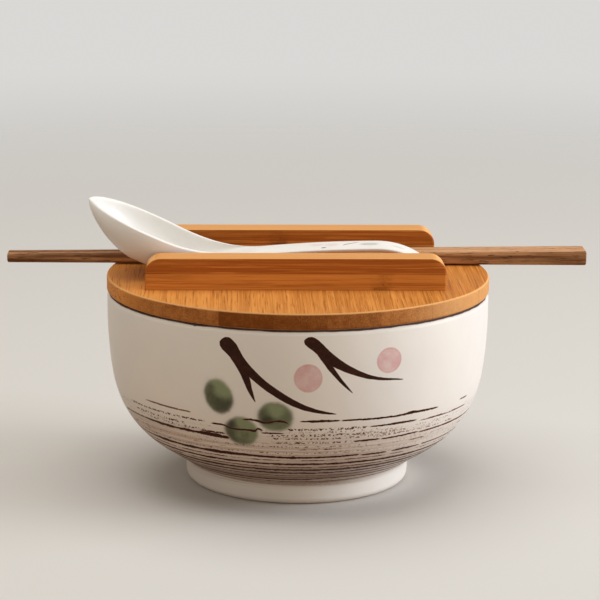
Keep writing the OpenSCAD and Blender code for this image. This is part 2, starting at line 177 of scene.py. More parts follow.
class Wire:
    """An output of a node that takes part in expressions, where | joins two masks and & is where both are."""

    def __init__(self, nodes: "Nodes", socket: bpy.types.NodeSocket) -> None:
        """Wraps one socket of a node tree."""
        self.nodes, self.socket = nodes, socket

    def math(self, operation: str, *values: Value) -> "Wire":
        """One Math node of that operation on these values."""
        return self.nodes.node("ShaderNodeMath", {"operation": operation}, dict(enumerate(values)))

    __add__, __radd__ = operator("ADD"), operator("ADD", True)
    __sub__, __rsub__ = operator("SUBTRACT"), operator("SUBTRACT", True)
    __mul__, __rmul__ = operator("MULTIPLY"), operator("MULTIPLY", True)
    __truediv__, __pow__ = operator("DIVIDE"), operator("POWER")
    __or__, __and__, __abs__ = operator("MAXIMUM"), operator("MINIMUM"), operator("ABSOLUTE")

    def step(self, low: float, high: float) -> "Wire":
        """Smooth step from 0 at low to 1 at high, or down again where low is the larger."""
        ends = (low, high, 0.0, 1.0) if low <= high else (high, low, 1.0, 0.0)
        return self.nodes.node(
            "ShaderNodeMapRange", {"interpolation_type": "SMOOTHSTEP"}, dict(enumerate((self, *ends)))
        )

    def curve(self, points: Curve, low: float, high: float) -> "Wire":
        """A curve over this share, drawn through given pairs of share and value between low and high."""
        scaled = tuple((share, (value - low) / (high - low)) for share, value in points)
        return low + (high - low) * self.nodes.node("ShaderNodeFloatCurve", {"curve": scaled}, {1: self})


class Nodes:
    """A node tree, and the ways of adding to it."""

    def __init__(self, tree: bpy.types.NodeTree) -> None:
        """Takes the tree."""
        self.tree = tree

    def node(self, kind: str, settings: dict, values: dict, output: Union[int, str] = 0) -> Wire:
        """Adds a node of any type.

        Args:
            kind: the node's type.
            settings: its properties, with "curve" for the points of a curve, set first.
            values: numbers, colours or wires for its sockets, by index or name.
            output: which of its outputs is wanted.

        Returns:
            That output.
        """
        made = self.tree.nodes.new(kind)
        for key, value in settings.items():
            if key == "curve":
                line = made.mapping.curves[0]
                while len(line.points) < len(value):
                    line.points.new(0.5, 0.5)
                for point, place in zip(line.points, value):
                    point.location = place
                made.mapping.update()
            else:
                setattr(made, key, value)
        for key, value in values.items():
            if isinstance(value, Wire):
                self.tree.links.new(value.socket, made.inputs[key])
            elif isinstance(value, tuple) and made.inputs[key].type == "RGBA":
                made.inputs[key].default_value = (*value, 1)
            else:
                made.inputs[key].default_value = value
        return Wire(self, made.outputs[output])

    def first(self, kind: str) -> bpy.types.Node:
        """The node of that type which the tree began with."""
        return next(n for n in self.tree.nodes if n.type == kind)

    def vector(self, operation: str, first: Wire, second: Triple) -> Wire:
        """One Vector Math node."""
        return self.node("ShaderNodeVectorMath", {"operation": operation}, {0: first, 1: second})

    def axes(self, vector: Wire) -> tuple[Wire, ...]:
        """The three coordinates of a vector."""
        return tuple(self.node("ShaderNodeSeparateXYZ", {}, {0: vector}, k) for k in range(3))

    def blend(self, mask: Value, below: Union[Wire, Colour], above: Union[Wire, Colour]) -> Wire:
        """Lays one colour over another, as much of it as the mask says."""
        settings = {"data_type": "RGBA", "blend_type": "MIX", "clamp_factor": True}
        return self.node("ShaderNodeMix", settings, {0: mask, 6: below, 7: above}, 2)

    def seen(self) -> Wire:
        """Mask that is 1 for what the camera sees, straight, in a reflection or through glass."""
        kinds = ("Camera", "Glossy", "Transmission")
        return reduce(or_, (self.node("ShaderNodeLightPath", {}, {}, f"Is {kind} Ray") for kind in kinds))


class Shader(Nodes):
    """The node tree of one material, around a single Principled shader, with the point that it colours."""

    def __init__(self, name: str, roughness: float, colour: Colour, gloss: float = 0.5) -> None:
        """Makes the material with its plain finish.

        Args:
            name: name of the finish.
            roughness: roughness before any pattern.
            colour: base colour before any pattern.
            gloss: strength of its reflections, where 0.5 is that of glass.
        """
        self.material = bpy.data.materials.new(name)
        self.material.use_nodes = True
        self.material.diffuse_color = (*colour, 1)
        super().__init__(self.material.node_tree)
        self.surface = self.first("BSDF_PRINCIPLED")
        plain = {"Roughness": roughness, "Specular IOR Level": gloss, "Base Color": (*colour, 1)}
        for socket, value in plain.items():
            self.surface.inputs[socket].default_value = value
        metres = self.node("ShaderNodeTexCoord", {}, {}, "Object")
        self.point = self.vector("MULTIPLY", metres, (1 / MM,) * 3)
        self.x, self.y, self.z = self.axes(self.point)

    def facing(self) -> tuple[Wire, ...]:
        """The three coordinates of the way in which the surface faces."""
        return self.axes(self.node("ShaderNodeTexCoord", {}, {}, "Normal"))

    def noise(
        self, stretch: Union[float, Triple], detail: float, roughness: float, shift: float, point: Maybe = None
    ) -> Wire:
        """Noise between 0 and 1.

        Args:
            stretch: how many cells there are in a millimetre, the same for all axes or for each.
            detail: octaves of finer noise.
            roughness: weight of the finer octaves.
            shift: moves the pattern, so that two noises differ.
            point: where, if it isn't the shader's own point.

        Returns:
            The noise.
        """
        cells = self.vector("MULTIPLY", point or self.point, stretch if isinstance(stretch, tuple) else (stretch,) * 3)
        moved = self.vector("ADD", cells, (shift, 1.7 * shift, 0.6 * shift))
        values = {"Vector": moved, "Scale": 1.0, "Detail": detail, "Roughness": roughness}
        return self.node("ShaderNodeTexNoise", {"noise_dimensions": "3D"}, values)

    def coat(self, weight: Wire, roughness: float) -> None:
        """Lays a clear coat over the surface, of a weight that varies and one roughness."""
        self.surface.inputs["Coat Roughness"].default_value = roughness
        self.tree.links.new(weight.socket, self.surface.inputs["Coat Weight"])

    def fade(self, mask: Wire) -> None:
        """Lets the surface fade into what is behind it.

        Args:
            mask: 1 where it's gone.
        """
        clear = self.node("ShaderNodeBsdfTransparent", {}, {})
        mixed = self.node("ShaderNodeMixShader", {}, {0: mask, 1: Wire(self, self.surface.outputs[0]), 2: clear})
        self.tree.links.new(mixed.socket, self.first("OUTPUT_MATERIAL").inputs["Surface"])

    def feed(self, colour: Wire, roughness: Maybe = None, relief: Maybe = None, depth: float = 0.0) -> None:
        """Links the patterns to the surface.

        Args:
            colour: the base colour.
            roughness: the roughness, where it varies.
            relief: the relief between 0 and 1, where there is one.
            depth: what a relief of 1 stands for, in metres.
        """
        bump = relief and self.node("ShaderNodeBump", {}, {"Strength": 1.0, "Distance": depth, "Height": relief})
        for socket, wire in (("Base Color", colour), ("Roughness", roughness), ("Normal", bump)):
            if wire is not None:
                self.tree.links.new(wire.socket, self.surface.inputs[socket])


@dataclass(frozen=True)
class Spot:
    """A place on the glaze in millimetres: round the bowl and up it, or along the spoon's handle and across it."""

    around: Wire
    height: Wire

    def turned(self, centre: Pair, cos: float, sin: float) -> tuple[Wire, Wire]:
        """How far the spot lies from a centre, along a direction and across it."""
        x, z = self.around - centre[0], self.height - centre[1]
        return x * cos + z * sin, z * cos - x * sin


@dataclass(frozen=True)
class Stroke:
    """One brush stroke: a straight chord, the way its middle leaves the chord, and its half width."""

    start: Pair
    end: Pair
    middle: Curve
    half_width: Curve

    def mask(self, spot: Spot) -> Wire:
        """Where the stroke covers the glaze: within its half width of its middle line.

        Args:
            spot: the place.

        Returns:
            The mask.
        """
        run, rise = self.end[0] - self.start[0], self.end[1] - self.start[1]
        length = math.hypot(run, rise)
        along, across = spot.turned(self.start, run / length, rise / length)
        share = along / length
        away = abs(across - share.curve(self.middle, -8.0, 8.0))
        return (share.curve(self.half_width, 0.0, 4.0) - away).step(0.02, 0.26)


@dataclass(frozen=True)
class Dab:
    """A round dab of colour with a soft edge, whose tone is how deep its colour is, and with pools in it."""

    centre: Pair
    half_width: float
    half_height: float
    lean: float
    softness: float
    tone: float = 0.0
    pools: tuple["Dab", ...] = ()

    def reach(self, spot: Spot) -> Wire:
        """Distance from the dab's centre as a share of its size, 1 on its ellipse.

        Args:
            spot: the place.

        Returns:
            The share.
        """
        lean = math.radians(self.lean)
        along, across = spot.turned(self.centre, math.cos(lean), math.sin(lean))
        wide, tall = along / self.half_width, across / self.half_height
        return (wide * wide + tall * tall) ** 0.5

    def inside(self, reach: Wire) -> Wire:
        """The dab's mask, from the reach."""
        return reach.step(1.0 + self.softness, 1.0 - self.softness)

    def depth(self, spot: Spot) -> Value:
        """How deep the colour is, from 0 to 1: the dab's tone plus that of each pool, which fades out at its edge."""
        return sum((pool.inside(pool.reach(spot)) * pool.tone for pool in self.pools), self.tone)


@dataclass(frozen=True)
class Brush:
    """How the brush went round the bowl: the angle in degrees, the wavering height in millimetres, and noises.

    Breaks and dots are noises that break a line into dashes or dots, swell is one around 1 that swells and thins it,
    and faint is how strong the dots are.
    """

    angle: Wire
    height: Wire
    breaks: Wire
    dots: Wire
    swell: Wire
    faint: Wire


@dataclass(frozen=True)
class BrushLine:
    """A line that a dry brush left as the bowl turned.

    It runs at a height between two angles, with its thickness and its waves drawn over that way. Its cover is the
    share that isn't broken by the dry brush, and a speckled line breaks up into dots.
    """

    height: float
    first: float
    last: float
    half_widths: Curve
    cover: float = 1.0
    strength: float = 1.0
    waves: Curve = ()
    speckled: bool = False

    def mask(self, brush: Brush) -> Wire:
        """Where the line covers the glaze.

        Args:
            brush: how the brush went.

        Returns:
            The mask.
        """
        share = (brush.angle - self.first) / (self.last - self.first)
        half: Value = self.half_widths[0][1]
        if len(self.half_widths) > 1:
            half = share.curve(self.half_widths, 0.0, 1.0)
        away = brush.height - self.height
        if self.waves:
            away = away - share.curve(self.waves, -2.0, 2.0)
        found = (brush.swell * half + 0.06 - abs(away)).step(-0.24, 0.14) * self.strength
        if self.cover < 1:
            found = found * (self.cover - (brush.dots if self.speckled else brush.breaks)).step(-0.04, 0.04)
        if self.speckled:
            found = found * brush.faint
        if self.last - self.first < 180:
            for end, inward in ((self.first, 0.8), (self.last, -0.8)):
                found = found * brush.angle.step(end - inward, end + inward)
        return found


@dataclass(frozen=True)
class PaintedGlaze:
    """Satin off-white glaze with a painted sprig and brushed rings, front and back.

    Clouds are the shares of the glaze's tint in its cool and its warm clouds. A band is two heights in millimetres
    between which something comes or goes, and a fade is two angles in degrees with the share of paint lost between.
    """

    glaze: Colour = (0.84, 0.815, 0.78)
    bark: Colour = (0.026, 0.0075, 0.0036)
    blossom: Colour = (0.66, 0.355, 0.345)
    leaf: Colour = (0.236, 0.276, 0.156)
    leaf_deep: Colour = (0.046, 0.044, 0.019)
    wash: Colour = (0.47, 0.325, 0.245)
    wash_low: Colour = (0.27, 0.172, 0.122)
    line: Colour = (0.040, 0.0085, 0.0030)
    thin_line: Colour = (0.20, 0.078, 0.040)
    bare_clay: Colour = (0.66, 0.56, 0.44)
    rim_line_and_gap_shadow: Colour = (0.056, 0.021, 0.011)
    clouds: tuple[Triple, Triple] = ((0.965, 0.965, 0.96), (1.015, 1.0, 0.965))
    girth: float = 77.0
    foot_z: float = 9.3
    rim_band: Pair = (78.3, 78.6)
    land_band: Pair = (0.6, 0.12)
    wash_bands: tuple[Pair, Pair] = ((27.0, 16.0), (42.0, 29.0))
    deep_wash_band: Pair = (25.0, 13.0)
    fleck_bands: tuple[Pair, Pair] = ((23.0, 27.0), (41.0, 38.0))
    left_fade: Pair = (-60.0, -88.0)
    wash_and_light_fade: Triple = (8.0, 55.0, 0.72)
    dot_fade: Triple = (6.0, 28.0, 0.5)
    strokes: tuple[Stroke, ...] = (
        Stroke(
            (-32.55, 73.11), (13.5, 45.4),
            ((0, 0.2), (0.02, 0.85), (0.08, 0.75), (0.15, -0.45), (0.22, -1.95), (0.3, -3.1), (0.4, -4.1), (0.5, -4.75),
             (0.6, -4.9), (0.7, -4.65), (0.8, -3.8), (0.9, -2.15), (1, 0)),
            ((0, 0), (0.008, 1.3), (0.03, 2.6), (0.07, 3.1), (0.15, 2.8), (0.22, 2.3), (0.3, 1.95), (0.4, 1.75),
             (0.5, 1.66), (0.6, 1.58), (0.7, 1.4), (0.8, 1.14), (0.9, 0.8), (0.975, 0.45), (1, 0)),
        ),
        Stroke(
            (-27.36, 69.47), (-18.4, 49.9),
            ((0, 0.35), (0.2, 0.8), (0.4, 0.95), (0.6, 0.7), (0.8, 0.15), (1, 0)),
            ((0, 0), (0.06, 2.3), (0.2, 2.1), (0.4, 1.75), (0.6, 1.5), (0.8, 0.98), (0.92, 0.55), (0.98, 0.3), (1, 0)),
        ),
        Stroke(
            (0.19, 74.95), (40.9, 57.2),
            ((0, 0.1), (0.02, 0.4), (0.08, 0.4), (0.15, -0.5), (0.22, -1.8), (0.3, -2.85), (0.4, -3.55), (0.5, -3.9),
             (0.6, -3.95), (0.7, -3.55), (0.8, -2.6), (0.9, -1.35), (1, 0)),
            ((0, 0), (0.01, 1.1), (0.03, 1.95), (0.08, 2.45), (0.15, 2.45), (0.22, 2.4), (0.3, 2.2), (0.4, 1.85),
             (0.5, 1.5), (0.6, 1.2), (0.7, 0.92), (0.8, 0.72), (0.9, 0.54), (0.975, 0.38), (1, 0)),
        ),
        Stroke(
            (5.5, 71.39), (19.4, 53.5),
            ((0, -0.4), (0.2, -0.35), (0.4, -0.6), (0.6, -0.68), (0.8, -0.42), (1, 0)),
            ((0, 0), (0.08, 1.2), (0.3, 1.3), (0.4, 1.25), (0.5, 1.1), (0.6, 0.95), (0.8, 0.72), (0.93, 0.42),
             (0.98, 0.28), (1, 0)),
        ),
    )
    blossoms: tuple[Dab, ...] = (
        Dab((1.95, 60.2), 5.45, 5.6, 0.0, 0.045),
        Dab((34.1, 65.6), 5.3, 5.05, 0.0, 0.045),
    )
    leaves: tuple[Dab, ...] = (
        Dab(
            (-33.4, 51.1), 6.15, 7.15, 14.0, 0.15, 0.74,
            (
                Dab((-30.3, 54.9), 4.4, 3.8, 0.0, 0.7, -0.88),
                Dab((-33.8, 57.6), 3.6, 2.0, 0.0, 0.6, -0.50),
                Dab((-32.6, 52.6), 2.6, 1.8, 0.0, 0.6, -0.18),
                Dab((-31.4, 48.0), 4.4, 3.4, 0.0, 0.6, 0.20),
            ),
        ),
        Dab(
            (-10.8, 44.3), 7.2, 6.15, 0.0, 0.15, 0.26,
            (
                Dab((-15.3, 44.6), 3.4, 3.4, 0.0, 0.6, 0.46),
                Dab((-12.6, 42.7), 3.2, 1.7, 0.0, 0.6, 0.36),
                Dab((-6.7, 44.3), 2.6, 2.6, 0.0, 0.6, 0.30),
                Dab((-10.6, 46.5), 3.2, 2.3, 0.0, 0.6, -0.40),
                Dab((-7.6, 40.2), 2.8, 1.6, 0.0, 0.6, 0.16),
            ),
        ),
        Dab(
            (-25.0, 37.3), 7.0, 6.35, 0.0, 0.15, 0.22,
            (
                Dab((-30.3, 37.6), 3.2, 5.0, 0.0, 0.6, 0.60),
                Dab((-28.0, 40.7), 2.4, 1.9, 0.0, 0.6, 0.30),
                Dab((-23.5, 35.9), 1.9, 1.6, 0.0, 0.5, 0.34),
                Dab((-23.8, 36.9), 0.9, 0.8, 0.0, 0.6, -0.16),
                Dab((-26.0, 32.5), 4.2, 1.9, 0.0, 0.6, 0.36),
                Dab((-22.9, 41.2), 3.6, 2.3, 0.0, 0.6, -0.50),
            ),
        ),
    )
    lines: tuple[BrushLine, ...] = (
        BrushLine(42.6, -0.6, 10.9, ((0, 0.12), (0.12, 0.24), (0.9, 0.26), (1, 0.12))),
        BrushLine(42.4, 11.8, 45.6, ((0, 0.2), (0.3, 0.25), (0.6, 0.28), (0.68, 0.46), (0.76, 0.3), (0.9, 0.26),
            (1, 0.06)), waves=((0, 0.2), (0.35, -0.1), (0.55, -0.1), (0.7, 0.25), (0.85, 0.05), (1, 0.0))),
        BrushLine(43.0, -54.0, -35.0, ((0, 0.02), (0.2, 0.2), (0.6, 0.26), (1, 0.14)), 1.0, 0.58, ((0, 0.2),
            (1, -0.1))),
        BrushLine(42.2, -17.6, -4.2, ((0, 0.12), (0.2, 0.3), (0.6, 0.3), (0.9, 0.26), (1, 0.1)), 1.0, 1.0, ((0, 0.5),
            (0.28, 0.45), (0.42, -0.2), (0.53, -0.5), (0.64, 0.0), (0.76, 0.4), (0.9, 0.15), (1, -0.7))),
        BrushLine(38.6, -27.8, -12.0, ((0, 0.16), (0.3, 0.26), (0.7, 0.26), (0.9, 0.34), (1, 0.14)), 1.0, 0.95,
            ((0, 0.8), (0.24, 0.75), (0.33, 0.0), (0.42, -0.45), (0.7, -0.4), (0.86, -0.65), (0.92, 0.4), (0.96, 0.1),
            (1, -0.2))),
        BrushLine(39.9, -64.0, -30.8, ((0, 0.22),), 0.52, 0.75, (), True),
        BrushLine(39.0, -4.4, 20.0, ((0, 0.4), (0.3, 0.3), (0.6, 0.4), (1, 0.3)), 0.49, 0.8, (), True),
        BrushLine(39.0, 21.0, 37.2, ((0, 0.1), (0.3, 0.24), (0.8, 0.24), (1, 0.08)), 0.8, 0.9),
        BrushLine(38.5, 39.4, 63.0, ((0, 0.16), (0.3, 0.2), (1, 0.12)), 0.58, 0.75),
        BrushLine(42.3, 57.8, 62.6, ((0, 0.08), (0.5, 0.2), (1, 0.08)), 1.0, 0.7),
        BrushLine(37.3, -12.2, -5.8, ((0, 0.1), (0.5, 0.2), (1, 0.1)), 1.0, 0.9),
        BrushLine(37.6, -62.0, -38.0, ((0, 0.34),), 0.44, 0.8, (), True),
        BrushLine(36.2, -56.0, -30.0, ((0, 0.3),), 0.42, 0.75, (), True),
        BrushLine(36.9, 18.0, 62.0, ((0, 0.2),), 0.42, 0.7, (), True),
        BrushLine(35.7, -32.0, -24.0, ((0, 0.24),), 0.6, 0.95, (), True),
        BrushLine(36.2, -10.0, 34.0, ((0, 0.3), (0.3, 0.36), (0.55, 0.36), (0.75, 0.4), (1, 0.3)), 0.455, 0.8,
            ((0, -0.1), (0.6, 0.1), (0.75, -0.3), (1, -0.4)), True),
        BrushLine(34.9, -9.0, 30.0, ((0, 0.26), (0.6, 0.24), (0.75, 0.36), (1, 0.24)), 0.45, 0.78, (), True),
        BrushLine(37.8, -4.0, 24.0, ((0, 0.22),), 0.39, 0.7, (), True),
        BrushLine(34.6, 22.0, 56.0, ((0, 0.3),), 0.5, 0.85, (), True),
        BrushLine(34.3, -73.0, -23.0, ((0, 0.14), (0.35, 0.18), (0.48, 0.38), (0.56, 0.5), (0.61, 0.3), (0.68, 0.46),
            (0.75, 0.38), (0.84, 0.6), (0.93, 0.68), (1, 0.35)), 1.0, 1.0, ((0, -0.4), (0.15, 0.1), (0.6, 0.2),
            (0.85, 0.1), (1, -0.4))),
        BrushLine(33.1, -8.4, 15.0, ((0, 0.26),), 0.47, 0.66, (), True),
        BrushLine(33.0, 16.2, 24.6, ((0, 0.12), (0.3, 0.26), (1, 0.16)), 1.0, 0.85),
        BrushLine(32.9, 25.6, 39.6, ((0, 0.18), (0.5, 0.26), (1, 0.14)), 1.0, 0.85, ((0, -0.1), (1, 0.4))),
        BrushLine(33.0, 40.2, 90.0, ((0, 0.22), (0.5, 0.24), (1, 0.16)), 0.8, 0.75),
        BrushLine(31.2, -90.0, 90.0, ((0, 0.18),), 0.42, 0.6, (), True),
        BrushLine(30.0, -90.0, 90.0, ((0, 0.14),), 0.45, 0.6),
        BrushLine(28.2, -90.0, 90.0, ((0, 0.18),), 0.43, 0.6, (), True),
        BrushLine(26.3, -90.0, 19.0, ((0, 0.16), (0.28, 0.22), (0.36, 0.56), (0.4, 0.28), (0.46, 0.5), (0.5, 0.28),
            (0.56, 0.7), (0.62, 0.56), (0.67, 0.34), (0.78, 0.38), (0.8, 0.6), (0.83, 0.32), (1, 0.28)), 0.82, 1.0,
            ((0, 0.2), (0.4, 0.2), (0.62, 0.1), (0.8, -0.3), (1, 0.0))),
        BrushLine(26.0, 19.8, 29.6, ((0, 0.08), (0.2, 0.24), (0.8, 0.24), (1, 0.08)), 1.0, 0.85),
        BrushLine(26.1, 31.6, 43.8, ((0, 0.06), (0.2, 0.26), (0.7, 0.24), (1, 0.06)), 1.0, 0.8),
        BrushLine(26.2, 45.0, 90.0, ((0, 0.18),), 0.62, 0.8),
        BrushLine(24.4, -90.0, 90.0, ((0, 0.14),), 0.5, 0.7),
        BrushLine(22.4, -90.0, 90.0, ((0, 0.34),), 0.9, 1.0),
        BrushLine(20.6, -90.0, 90.0, ((0, 0.14),), 0.55, 0.65),
        BrushLine(18.9, -90.0, 90.0, ((0, 0.38),), 0.92, 1.0),
        BrushLine(16.8, -90.0, 90.0, ((0, 0.32),), 0.88, 1.0),
        BrushLine(14.8, -90.0, 90.0, ((0, 0.16),), 0.6, 0.7),
        BrushLine(12.4, -90.0, 90.0, ((0, 0.22),), 0.84, 0.9, ((0, 0.2), (0.3, -0.2), (0.5, -0.3), (0.57, 0.2),
            (0.7, 0.3), (0.85, -0.1), (1, 0.2))),
        BrushLine(10.5, -90.0, 90.0, ((0, 0.18),), 0.7, 0.7),
    )

    def make(self) -> bpy.types.Material:
        """Builds the glaze.

        Returns:
            The material.
        """
        shader = Shader("painted_glaze", roughness=0.5, colour=self.glaze, gloss=0.08)
        x, y, z = shader.x, shader.y, shader.z
        turn = x.math("ARCTAN2", x, y * -1.0) * (180 / math.pi)
        angle = turn.math("FLOORED_MODULO", turn + 90.0, 180.0) - 90.0
        waver = shader.noise(0.16, 3.0, 0.55, 3.1) - 0.5
        around = angle * (math.pi / 180 * self.girth) + waver * 0.5
        spot = Spot(around, z + (shader.noise(0.2, 3.0, 0.6, 9.4) - 0.5) * 0.5)
        facing = shader.facing()
        outward = (facing[0] * x + facing[1] * y) / (x * x + y * y) ** 0.5
        outside = outward.step(0.04, 0.16)

        colour = self.washed(shader, angle, outside)
        colour = self.dabbed(shader, colour, spot, outside)
        lines = self.lined(shader, angle) * outside
        brown = shader.blend(lines.step(0.35, 0.95), self.thin_line, self.line)
        colour = shader.blend(lines.step(0.0, 0.6), colour, brown)
        painted = reduce(or_, (stroke.mask(spot) for stroke in self.strokes)) * outside
        brush = shader.noise(0.5, 3.0, 0.6, 1.3)
        colour = shader.blend(painted, colour, shader.blend(brush.step(0.35, 0.75), self.bark, dim(self.bark, 2)))
        drip = shader.noise((0.11, 0.11, 0.02), 2.0, 0.5, 44.0)
        # Dark brown line on the rim's outer edge: partly a brown rim line and partly painted shadow of the gap under
        # the lid.
        rim = (z + drip * 0.7 + drip.step(0.69, 0.75) * 0.8).step(*self.rim_band) * outward.step(0.2, 0.45)
        colour = shader.blend(rim * 0.93, colour, self.rim_line_and_gap_shadow)
        land = z.step(*self.land_band)
        colour = shader.blend(land, colour, self.bare_clay)
        clear = (1.0 - painted * 0.85) * (1.0 - lines * 0.7) * (1.0 - rim * 0.7) * (1.0 - land)
        shader.coat(clear * (0.25 + 0.15 * waver), 0.28)
        shader.feed(colour, 0.46 + 0.08 * brush, shader.noise(0.09, 2.0, 0.45, 7.0), 0.00022)
        return shader.material

    def fading(self, angle: Wire, fade: Triple) -> Wire:
        """What is left of the paint where it fades towards both sides, at the right as the fade says."""
        return 1.0 - fade[2] * (angle.step(*fade[:2]) + angle.step(*self.left_fade))

    def washed(self, shader: Shader, angle: Wire, outside: Wire) -> Wire:
        """Cloudy glaze with a thin brown wash from the foot to the first rings, in fine streaks round the bowl.

        Its lowest edge runs 3.4 mm down over the foot's top, as painted shadow under the belly.

        Args:
            shader: the shader.
            angle: the angle round the bowl, in degrees.
            outside: mask of the bowl's outside.

        Returns:
            The colour.
        """
        z = shader.z
        tints = (tuple(c * s for c, s in zip(self.glaze, shares)) for shares in self.clouds)
        colour = shader.blend(shader.noise(0.03, 3.0, 0.5, 2.0).step(0.3, 0.7), *tints)
        middle, end = (z.step(*band) for band in self.wash_bands)
        # The band starts 3.4 mm below the foot's top: painted shadow cast by the belly on the foot.
        band = z.step(self.foot_z - 3.4, self.foot_z + 0.6) * (0.66 + 0.34 * middle) * end
        streak = shader.noise((0.012, 0.012, 1.15), 4.0, 0.62, 4.0)
        grain = shader.noise((0.9, 0.9, 1.8), 3.0, 0.65, 6.0)
        veil = (0.30 + 0.80 * streak.step(0.38, 0.60)) * (0.55 + 0.8 * grain) * band * outside
        # The wash thins towards the sides, most to the right: partly the wash itself and partly painted light where the
        # belly is lit.
        veil = veil * self.fading(angle, self.wash_and_light_fade)
        colour = shader.blend(veil, colour, shader.blend(z.step(*self.deep_wash_band), self.wash, self.wash_low))
        patches = shader.noise((0.05, 0.05, 0.9), 3.0, 0.6, 14.0).step(0.50, 0.58)
        flecks = shader.noise((1.0, 1.0, 1.9), 2.0, 0.6, 16.0).step(0.56, 0.61)
        start, stop = (z.step(*band) for band in self.fleck_bands)
        return shader.blend(flecks * patches * start * stop * outside * 0.6, colour, self.thin_line)

    def lined(self, shader: Shader, angle: Wire) -> Wire:
        """The brushed lines.

        Args:
            shader: the shader.
            angle: the angle round the bowl, in degrees.

        Returns:
            The mask of all lines.
        """
        slow = shader.noise((0.02, 0.02, 0.06), 2.0, 0.5, 21.0) - 0.5
        quick = shader.noise((0.8, 0.8, 1.0), 2.0, 0.65, 22.0) - 0.5
        brush = Brush(
            angle=angle,
            height=shader.z + slow * 0.6 + quick * 0.5,
            breaks=shader.noise((0.14, 0.14, 0.8), 4.0, 0.68, 23.0),
            dots=shader.noise((1.1, 1.1, 1.3), 1.0, 0.5, 24.0),
            swell=shader.noise((0.28, 0.28, 0.7), 3.0, 0.6, 25.0) * 2.4 - 0.2,
            faint=self.fading(angle, self.dot_fade),
        )
        return reduce(or_, (line.mask(brush) for line in self.lines))

    def dabbed(self, shader: Shader, colour: Wire, spot: Spot, outside: Wire) -> Wire:
        """The blossoms and the leaves: soft dabs, darker where the colour pooled.

        Args:
            shader: the shader.
            colour: the colour under the dabs.
            spot: the place.
            outside: mask of the bowl's outside.

        Returns:
            The colour with the dabs.
        """
        mottle, fine = shader.noise(0.22, 3.0, 0.55, 31.0), shader.noise(0.9, 2.0, 0.5, 32.0)
        for dab in self.blossoms:
            reach = dab.reach(spot)
            rim = reach.step(0.78, 0.98) * 0.14
            strength = dab.inside(reach) * outside * (0.40 + 0.396 * mottle.step(0.2, 0.8) + 0.2 * fine + rim)
            colour = shader.blend(strength, colour, self.blossom)
        for dab in self.leaves:
            reach = dab.reach(spot) + (mottle - 0.5) * 0.2
            cover = dab.inside(reach) * (0.90 + 0.10 * reach.step(1.0, 0.7)) * 0.99 | reach.step(1.32, 0.9) * 0.16
            depth = dab.depth(spot) + (mottle - 0.5) * 0.34 + (fine - 0.5) * 0.25
            colour = shader.blend(cover * outside, colour, shader.blend(depth, self.leaf, self.leaf_deep))
        return colour


@dataclass(frozen=True)
class SpoonGlaze:
    """Satin off-white glaze with a few painted touches on the handle."""

    glaze: Colour = (0.842, 0.824, 0.79)
    bark: Colour = (0.16, 0.08, 0.06)
    blossom: Colour = (0.72, 0.47, 0.45)
    leaf: Colour = (0.36, 0.37, 0.30)
    top_band: Pair = (93.0, 94.5)
    blossoms: tuple[Dab, ...] = (Dab((7.4, -4.4), 2.6, 1.8, 0.0, 0.5), Dab((13.2, -4.8), 2.8, 2.0, 0.0, 0.5))
    leaves: tuple[Dab, ...] = (Dab((28.6, -5.2), 3.6, 1.7, 4.0, 0.4), Dab((40.4, -6.4), 2.6, 1.1, -8.0, 0.5, 0.5))
    strokes: tuple[Stroke, ...] = (
        Stroke(
            (17.4, -6.6), (25.0, -1.9),
            ((0, 0), (0.5, 0.3), (1, 0)),
            ((0, 0), (0.15, 0.5), (0.5, 0.62), (0.85, 0.5), (1, 0)),
        ),
        Stroke(
            (8.9, -8.6), (11.4, -8.3),
            ((0, 0), (0.5, 0.2), (1, 0)),
            ((0, 0), (0.3, 0.62), (0.7, 0.6), (1, 0)),
        ),
    )

    def make(self) -> bpy.types.Material:
        """Builds the glaze.

        Returns:
            The material.
        """
        shader = Shader("spoon_glaze", roughness=0.44, colour=self.glaze, gloss=0.1)
        colour = shader.blend(shader.noise(0.04, 3.0, 0.5, 2.0).step(0.3, 0.7), dim(self.glaze, 0.965), self.glaze)
        waver = shader.noise(0.2, 3.0, 0.6, 3.0) - 0.5
        spot = Spot(shader.x + waver * 0.8, shader.y - waver * 0.6)
        soft = shader.noise(0.35, 3.0, 0.6, 5.0)
        above = shader.z.step(*self.top_band)
        for dabs, tint, strength in ((self.blossoms, self.blossom, 0.42), (self.leaves, self.leaf, 0.62)):
            for dab in dabs:
                shown = dab.inside(dab.reach(spot)) * (0.6 + 0.8 * soft) * above * (strength * (1 - dab.tone))
                colour = shader.blend(shown, colour, tint)
        strokes = reduce(or_, (stroke.mask(spot) for stroke in self.strokes))
        colour = shader.blend(strokes * above * (0.45 + 0.5 * soft), colour, self.bark)
        shader.coat(0.34 + 0.16 * waver, 0.24)
        shader.feed(colour, 0.42 + 0.06 * soft, shader.noise(0.1, 2.0, 0.45, 7.0), 0.0002)
        return shader.material


